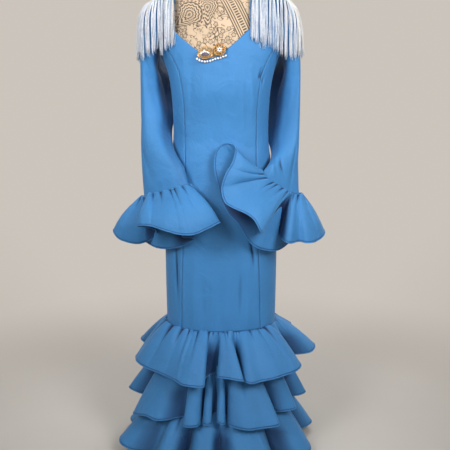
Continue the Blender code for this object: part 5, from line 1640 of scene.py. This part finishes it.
def braid(name, sign, finish):
    """The heading of the fringe: three pairs of twisted cords on a tape along the shoulder."""
    tip, count, sides = ARMHOLE[-1].reach, 260, 8
    overhang, droop = 0.019, 0.55                # past the shoulder's tip, and its slope there
    x = np.linspace(NECK_MIDDLE + sign * NECK_REACH, sign * (tip + overhang), count)
    height = np.array([ridge_height(v) if abs(v) < tip else SHOULDER_TIP - (abs(v) - tip) * droop
                       for v in x])
    run = running(np.hypot(np.diff(x), np.diff(height)))
    paths, shades = [], []
    for lane in (-CORD_APART, 0.0, CORD_APART):
        # the second cord of each pair takes a little of the bluish grey painted shade
        for phase, shade in ((0.0, 0.5), (math.pi, 0.25)):
            twist = run * 2 * math.pi / CORD_PITCH + phase + lane * 300
            y = lane + CORD_TURN[0] * np.cos(twist)
            z = height + CORD_LIFT - 0.25 * abs(lane) + CORD_TURN[1] * np.sin(twist)
            paths.append(np.stack([x, y, z], axis=1))
            shades.append(shade)
    cords = tube(name + "_cords", paths, [CORD_RADIUS] * len(paths), [ACROSS] * len(paths),
                 finish, sides)
    mark_points(cords, "shade", np.repeat(np.array(shades), count * sides))
    grid = np.stack([
        np.stack([x, np.full(count, y), height + TAPE_LIFT - TAPE_ARCH * y * y], axis=1)
        for y in np.linspace(-TAPE_HALF, TAPE_HALF, 9)])
    tape = shell(name + "_tape", [grid], finish, TAPE_WALL, flip=sign > 0)
    mark_points(tape, "shade", 0.4)
    return tape, cords


def brooch(gilt, backing_and_shade, pearl):
    """A gilt loop with pearls, a rosette round a ring of pearls, and a pearl string."""
    def round_the(middle, radii, count, start=0.0, end=2 * math.pi, lift=0.0):
        turns = start + (end - start) * np.arange(count) / count
        return [(middle[0] + radii[0] * math.cos(a), BROOCH_Y - lift,
                 middle[1] + radii[1] * math.sin(a)) for a in turns]

    def wire_ring(middle, radii, bar, lift=0.0):
        return oval_ring((middle[0], BROOCH_Y - lift, middle[1]), radii, bar, gilt)

    y, (wide, tall) = BROOCH_Y, LOOP_RADII
    x, z = LOOP_MIDDLE
    link = oval_ring((0, 0, 0), (0.0024, 0.0024), 0.0007, gilt, segments=20, sides=6)
    leaf = oval_ring((0, 0, 0), (0.0036, 0.0036), 0.0009, gilt, segments=24, sides=6)
    grain = bead((0, 0, 0), 0.0010, gilt, segments=10)
    pip = bead((0, 0, 0), 0.0023, pearl, segments=14)
    drop = bead((0, 0, 0), 0.0029, pearl, segments=16)
    # a dark sheet behind the loop's opening: painted shade
    back = bead((x, y + 0.0006, z), 1.0, backing_and_shade, segments=36)
    work_in("EDIT")
    bpy.ops.transform.resize(value=(wide - 0.005, 0.0008, tall - 0.004),
                             center_override=(x, y + 0.0006, z))
    work_in("OBJECT")
    parts = [wire_ring((x, z), (wide, tall), 0.0018),
             wire_ring((x, z), (wide - 0.0062, tall - 0.0056), 0.0010, 0.0005), back]
    parts += copy_to(link, round_the((x, z), (wide - 0.0033, tall - 0.0030), 16, lift=0.0008))
    parts += copy_to(grain, round_the((x, z), (wide + 0.0006, tall + 0.0006), 26, lift=0.0014))
    parts += copy_to(leaf, round_the((x + 0.003, z), (wide - 0.001, tall + 0.0042), 5, 0.75, 2.6))
    loop = joined("brooch_loop_wire", parts)

    middle = ROSETTE_MIDDLE
    plate = turned("plate", PLATE_PROFILE, backing_and_shade, rounding=0.0003)
    plate.data.transform(Matrix.Translation((middle[0], y + 0.0008, middle[1])) @ FACE_FRONT)
    parts = [plate, wire_ring(middle, (0.0158, 0.0158), 0.0013, 0.0004),
             wire_ring(middle, (0.0072, 0.0072), 0.0008, 0.0018)]
    parts += copy_to(leaf, round_the(middle, (0.0114, 0.0114), 9, lift=0.0018))
    parts += copy_to(grain, round_the(middle, (0.0114, 0.0114), 9, lift=0.0024))
    parts += copy_to(grain, round_the(middle, (0.0166, 0.0166), 26, lift=0.0010))
    parts += copy_to(grain, [(middle[0], y - 0.0042, middle[1])])
    rosette = joined("brooch_rosette_wire", parts)

    pearls = copy_to(pip, round_the(middle, (0.0043, 0.0043), 6, 0.5, 0.5 + 2 * math.pi, 0.0036))
    pearls += copy_to(pip, round_the((x, z - 0.001), (0.0118, 0.0068), 6, 2.9, 0.1, 0.0026))
    pearls += copy_to(pip, [(x - 0.002, y - 0.0030, z + 0.0085)])
    string = np.array([(row.x, y, row.z) for row in PEARL_STRING])
    run = running(np.linalg.norm(np.diff(string, axis=0), axis=1))
    spots = np.arange(0.0, run[-1], PEARL_APART)
    places = [[np.interp(s, run, string[:, k]) for k in range(3)] for s in spots]
    pearls += copy_to(drop, places)
    pearls = joined("brooch_pearl_beads", pearls)
    between = [((np.array(a) + b) / 2) for a, b in zip(places, places[1:])]
    wire = tube("brooch_wire", [np.array(places)], [0.0005], [ACROSS], gilt)
    spacers = copy_to(grain, between + [np.array(p) + (0, 0, 0.0042) for p in places])
    wire = joined("brooch_wire", [wire] + spacers)
    for pattern in (link, leaf, grain, pip, drop):
        bpy.data.objects.remove(pattern)
    return loop, rosette, pearls, wire


def zip_slider(finish):
    """The slider body, narrower at its foot, and the bridge that the tab turns in."""
    low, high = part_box("zip_slider")
    middle = [(a + b) / 2 for a, b in zip(low, high)]
    wide, _, tall = (b - a for a, b in zip(low, high))
    clear_selection()
    bpy.ops.mesh.primitive_cube_add(
        size=1, location=(middle[0], low[1] + SLIDER_DEEP / 2, middle[2]),
        scale=(wide, SLIDER_DEEP, tall))
    body = start_piece("slider_body")
    bpy.ops.mesh.subdivide(number_cuts=3)
    work_in("OBJECT")
    for vertex in body.data.vertices:
        share = 0.5 - vertex.co.z
        vertex.co.x *= 1 - SLIDER_TAPER * share**2
    work_in("EDIT")
    body = bevel(end_piece(body, finish), SLIDER_ROUNDING)
    clear_selection()
    root = (middle[0], low[1] + SLIDER_DEEP, middle[2])
    bpy.ops.mesh.primitive_torus_add(
        location=root, rotation=(0, math.pi / 2, 0), major_radius=BRIDGE_RADIUS,
        minor_radius=BRIDGE_BAR, major_segments=40, minor_segments=10)
    bridge = start_piece("slider_bridge")
    deep = (high[1] - low[1] - SLIDER_DEEP - BRIDGE_BAR) / BRIDGE_RADIUS
    bpy.ops.transform.resize(value=(1, deep, 1.0), center_override=root)
    bridge = end_piece(bridge, finish)
    return joined("zip_slider_lacquered", [body, bridge])


def zip_tab(finish):
    """The pull tab: a flat bar with a window at its top and a hole at its end."""
    low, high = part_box("zip_pull_tab")
    x, y = (low[0] + high[0]) / 2, (low[1] + high[1]) / 2
    wide, deep, tall = (b - a for a, b in zip(low, high))
    clear_selection()
    bpy.ops.mesh.primitive_grid_add(x_subdivisions=6, y_subdivisions=24, size=1, location=(x, y, 0),
                                    rotation=(math.pi / 2, 0, 0))
    tab = start_piece("zip_tab")
    work_in("OBJECT")
    middle = (low[2] + high[2]) / 2
    for vertex in tab.data.vertices:
        v = vertex.co.y + 0.5
        taper = 1.0 - TAB_TAPER * math.sin(math.pi * min(v * 1.1, 1)) ** 2
        vertex.co.x *= wide * taper
        vertex.co.y = tall * (v - 0.5) + middle
    tab.data.transform(Matrix.Translation((x, y, 0)) @ FACE_FRONT)
    tab.matrix_world = Matrix.Identity(4)
    mesh = bmesh.new()
    mesh.from_mesh(tab.data)
    gone = [f for f in mesh.faces if tab_window(f.calc_center_median(), x, high[2], low[2])]
    bmesh.ops.delete(mesh, geom=gone, context="FACES")
    mesh.to_mesh(tab.data)
    mesh.free()
    work_in("EDIT")
    tab = end_piece(tab, finish)
    wall = tab.modifiers.new("wall", "SOLIDIFY")
    wall.thickness, wall.offset = deep, 0.0
    bpy.ops.object.modifier_apply(modifier="wall")
    return bevel(tab, TAB_ROUNDING, 2)


def tab_window(spot, x, top, foot):
    """True in the window that the bridge passes through, and in the hole at the foot."""
    openings = ((TAB_WINDOW, top - spot.z), (TAB_HOLE, spot.z - foot))
    return any(abs(spot.x - x) < half and start < away < end
               for (half, start, end), away in openings)


# ---- operators
def finish_named(name, make):
    """A finish that several pieces share, made the first time that it is asked for."""
    found = bpy.data.materials.get(name)
    return found if found else make()


def crepe():
    return finish_named("blue_crepe", lambda: crepe_finish(bpy.context.scene.dress_colours))


def silk():
    return finish_named("fringe_strands", lambda: silk_finish(bpy.context.scene.dress_colours))


def gilt():
    return finish_named("gilt_plate", gilt_finish)


def sizes():
    return bpy.context.scene.dress_sizes


class DRESS_OT_form(bpy.types.Operator):
    """Make the dress form's torso and neck in its printed cover"""
    bl_idname = "dress.form"
    bl_label = "Form"

    def execute(self, context):
        torso = form_torso(cover_finish(context.scene.dress_colours))
        stand_in(torso, "form_torso")
        return {"FINISHED"}


class DRESS_OT_stand(bpy.types.Operator):
    """Make the form's neck cap, pole and round base"""
    bl_idname = "dress.stand"
    bl_label = "Stand"

    def execute(self, context):
        black = finish_named("satin_black", black_finish)
        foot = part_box("neck_cap")[0][2]
        cap = turned("neck_cap_turned", [(row.radius, foot + row.rise) for row in CAP_PROFILE],
                     black)
        stand_in(cap, "neck_cap")
        low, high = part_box("stand_pole")
        pole = turned("pole_turned", [(POLE_RADIUS, low[2]), (POLE_RADIUS, high[2])], black,
                      segments=48)
        stand_in(pole, "stand_pole")
        low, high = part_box("stand_base")
        profile = [(BASE_FOOT, low[2]), *BASE_PROFILE, (BASE_COLLAR, high[2])]
        base = turned("base_turned", profile, black, segments=144)
        stand_in(base, "stand_base")
        return {"FINISHED"}


class DRESS_OT_bodice(bpy.types.Operator):
    """Make the five panels of the bodice and skirt"""
    bl_idname = "dress.bodice"
    bl_label = "Panels"

    def execute(self, context):
        wall = sizes().wall
        panel = stand_in(front_centre(crepe(), wall), "front_centre")
        for side, sign in (("right", -1), ("left", 1)):
            panel = stand_in(front_side(f"dress_front_side_{side}", sign, crepe(), wall),
                             f"front_side_{side}")
            panel = stand_in(back_panel(f"dress_back_{side}", sign, crepe(), wall),
                             f"back_{side}")
        return {"FINISHED"}


class DRESS_OT_sleeves(bpy.types.Operator):
    """Make the sleeves and their flounces"""
    bl_idname = "dress.sleeves"
    bl_label = "Sleeves"

    def execute(self, context):
        for arm in ARMS:
            piece = sleeve(arm, crepe(), sizes().wall)
            stand_in(piece, f"sleeve_{arm.side}")
            cloth, cord = cuff_flounce(arm, crepe(), sizes())
            stand_in(cloth, f"cuff_flounce_{arm.side}")
            ride_along(cord)
        return {"FINISHED"}


class DRESS_OT_skirt(bpy.types.Operator):
    """Make the plain skirt and its three gathered flounces"""
    bl_idname = "dress.skirt"
    bl_label = "Flounces"

    def execute(self, context):
        base = stand_in(skirt_base(crepe(), sizes().wall), "skirt_base")
        for row in TIERS:
            cloth, cord = tier(row, crepe(), sizes())
            stand_in(cloth, row.node)
            ride_along(cord)
        return {"FINISHED"}


class DRESS_OT_zip(bpy.types.Operator):
    """Make the slider and pull tab of the back zip"""
    bl_idname = "dress.zip"
    bl_label = "Zip"

    def execute(self, context):
        lacquer = lacquer_finish(context.scene.dress_colours)
        stand_in(zip_slider(lacquer), "zip_slider")
        stand_in(zip_tab(lacquer), "zip_pull_tab", "pull_tab")
        return {"FINISHED"}


class DRESS_OT_fringe(bpy.types.Operator):
    """Hang the fringe from its braid on both shoulders"""
    bl_idname = "dress.fringe"
    bl_label = "Fringe"

    def execute(self, context):
        names = ["dress_front_centre"] + [f"dress_{part}_{side}" for side in ("right", "left")
                                          for part in ("front_side", "back", "sleeve")]
        trees = under_strands([bpy.data.objects[name] for name in names])
        for side, sign, rows, seed, length in (("right", -1, FRINGE_RIGHT, 41, 0.085),
                                               ("left", 1, FRINGE_LEFT, 42, 0.130)):
            strands = fringe(f"fringe_strands_{side}", rows, trees, silk(),
                             context.scene.dress_fringe, seed)
            stand_in(strands, f"fringe_{side}")
            tape, cords = braid(f"braid_{side}_woven", sign, silk())
            stand_in(tape, f"braid_{side}")
            ride_along(cords)
        return {"FINISHED"}


class DRESS_OT_brooch(bpy.types.Operator):
    """Make the gilt and pearl brooch at the neckline"""
    bl_idname = "dress.brooch"
    bl_label = "Brooch"

    def execute(self, context):
        # dark backing of the brooch; behind the loop it is painted shade
        backing_and_shade = gilt_finish("gilt_backing_and_shade", (0.12, 0.10, 0.12, 1.0), (0.05, 0.045, 0.06, 1.0))
        loop, rosette, pearls, wire = brooch(gilt(), backing_and_shade, pearl_finish())
        stand_in(loop, "brooch_loop")
        stand_in(rosette, "brooch_rosette")
        stand_in(pearls, "brooch_pearls")
        ride_along(wire)
        return {"FINISHED"}


def studio_room(strength):
    """Soft light from all round, brightest from behind the dress."""
    world = bpy.data.worlds.new("studio")
    world.use_nodes = True
    tree = world.node_tree
    sky = tree.nodes["Background"]
    sky.inputs["Color"].default_value = rgb(ROOM_COLOUR)
    way = tree.nodes.new("ShaderNodeTexCoord")
    split = tree.nodes.new("ShaderNodeSeparateXYZ")
    share = tree.nodes.new("ShaderNodeMapRange")
    share.inputs["From Min"].default_value = ROOM_FROM
    share.inputs["From Max"].default_value = ROOM_TO
    share.inputs["To Min"].default_value = ROOM_FRONT * strength
    share.inputs["To Max"].default_value = strength
    tree.links.new(way.outputs["Generated"], split.inputs[0])
    tree.links.new(split.outputs["Y"], share.inputs["Value"])
    tree.links.new(share.outputs[0], sky.inputs["Strength"])
    return world


class DRESS_OT_studio(bpy.types.Operator):
    """Make the floor, the lights and the camera"""
    bl_idname = "dress.studio"
    bl_label = "Studio"

    def execute(self, context):
        settings = context.scene.dress_studio
        clear_selection()
        bpy.ops.mesh.primitive_circle_add(vertices=96, radius=FLOOR_RADIUS, fill_type="NGON",
                                          location=(0, 0, -FLOOR_DROP))
        floor = start_piece("studio_floor")
        end_piece(floor, floor_finish(settings.room))
        context.scene.world = studio_room(settings.room)
        for name, place, aim, size, share in LAMPS:
            lamp = bpy.data.lights.new(name, "AREA")
            lamp.energy, lamp.size, lamp.spread = settings.key * share, size, LAMP_SPREAD
            light = bpy.data.objects.new(name, lamp)
            light.location = place
            light.rotation_euler = (Vector(aim) - Vector(place)).to_track_quat("-Z", "Y").to_euler()
            context.scene.collection.objects.link(light)
        lens = bpy.data.cameras.new("camera")
        lens.sensor_width, lens.lens = CAMERA_SENSOR, CAMERA_LENS
        camera = bpy.data.objects.new("camera", lens)
        camera.location = CAMERA_PLACE
        camera.rotation_euler = (CAMERA_TILT, 0.0, 0.0)
        context.scene.collection.objects.link(camera)
        context.scene.camera = camera
        context.scene.view_settings.view_transform = "Standard"
        return {"FINISHED"}


OPERATORS = (
    DRESS_OT_form, DRESS_OT_stand, DRESS_OT_bodice, DRESS_OT_sleeves, DRESS_OT_skirt,
    DRESS_OT_zip, DRESS_OT_fringe, DRESS_OT_brooch, DRESS_OT_studio,
)


class DRESS_PT_sidebar(bpy.types.Panel):
    """The dress's sizes, colours and pieces"""
    bl_label = "Flamenco Dress"
    bl_space_type = "VIEW_3D"
    bl_region_type = "UI"
    bl_category = "Dress"

    def draw(self, context):
        for key in SETTINGS:
            group = getattr(context.scene, key)
            box = self.layout.box()
            for name in group.bl_rna.properties.keys():
                if name not in ("rna_type", "name"):
                    box.prop(group, name)
        for operator in OPERATORS:
            self.layout.operator(operator.bl_idname)


SETTINGS = {
    "dress_sizes": DressSizes, "dress_colours": DressColours, "dress_fringe": DressFringe,
    "dress_studio": DressStudio,
}
CLASSES = (*SETTINGS.values(), *OPERATORS, DRESS_PT_sidebar)


def register():
    for made in CLASSES:
        bpy.utils.register_class(made)
    for key, group in SETTINGS.items():
        setattr(bpy.types.Scene, key, PointerProperty(type=group))


def unregister():
    for key in SETTINGS:
        delattr(bpy.types.Scene, key)
    for made in reversed(CLASSES):
        bpy.utils.unregister_class(made)


def main():
    register()
    for operator in OPERATORS:
        group, name = operator.bl_idname.split(".")
        getattr(getattr(bpy.ops, group), name)()
    clear_selection()


if __name__ == "__main__":
    main()
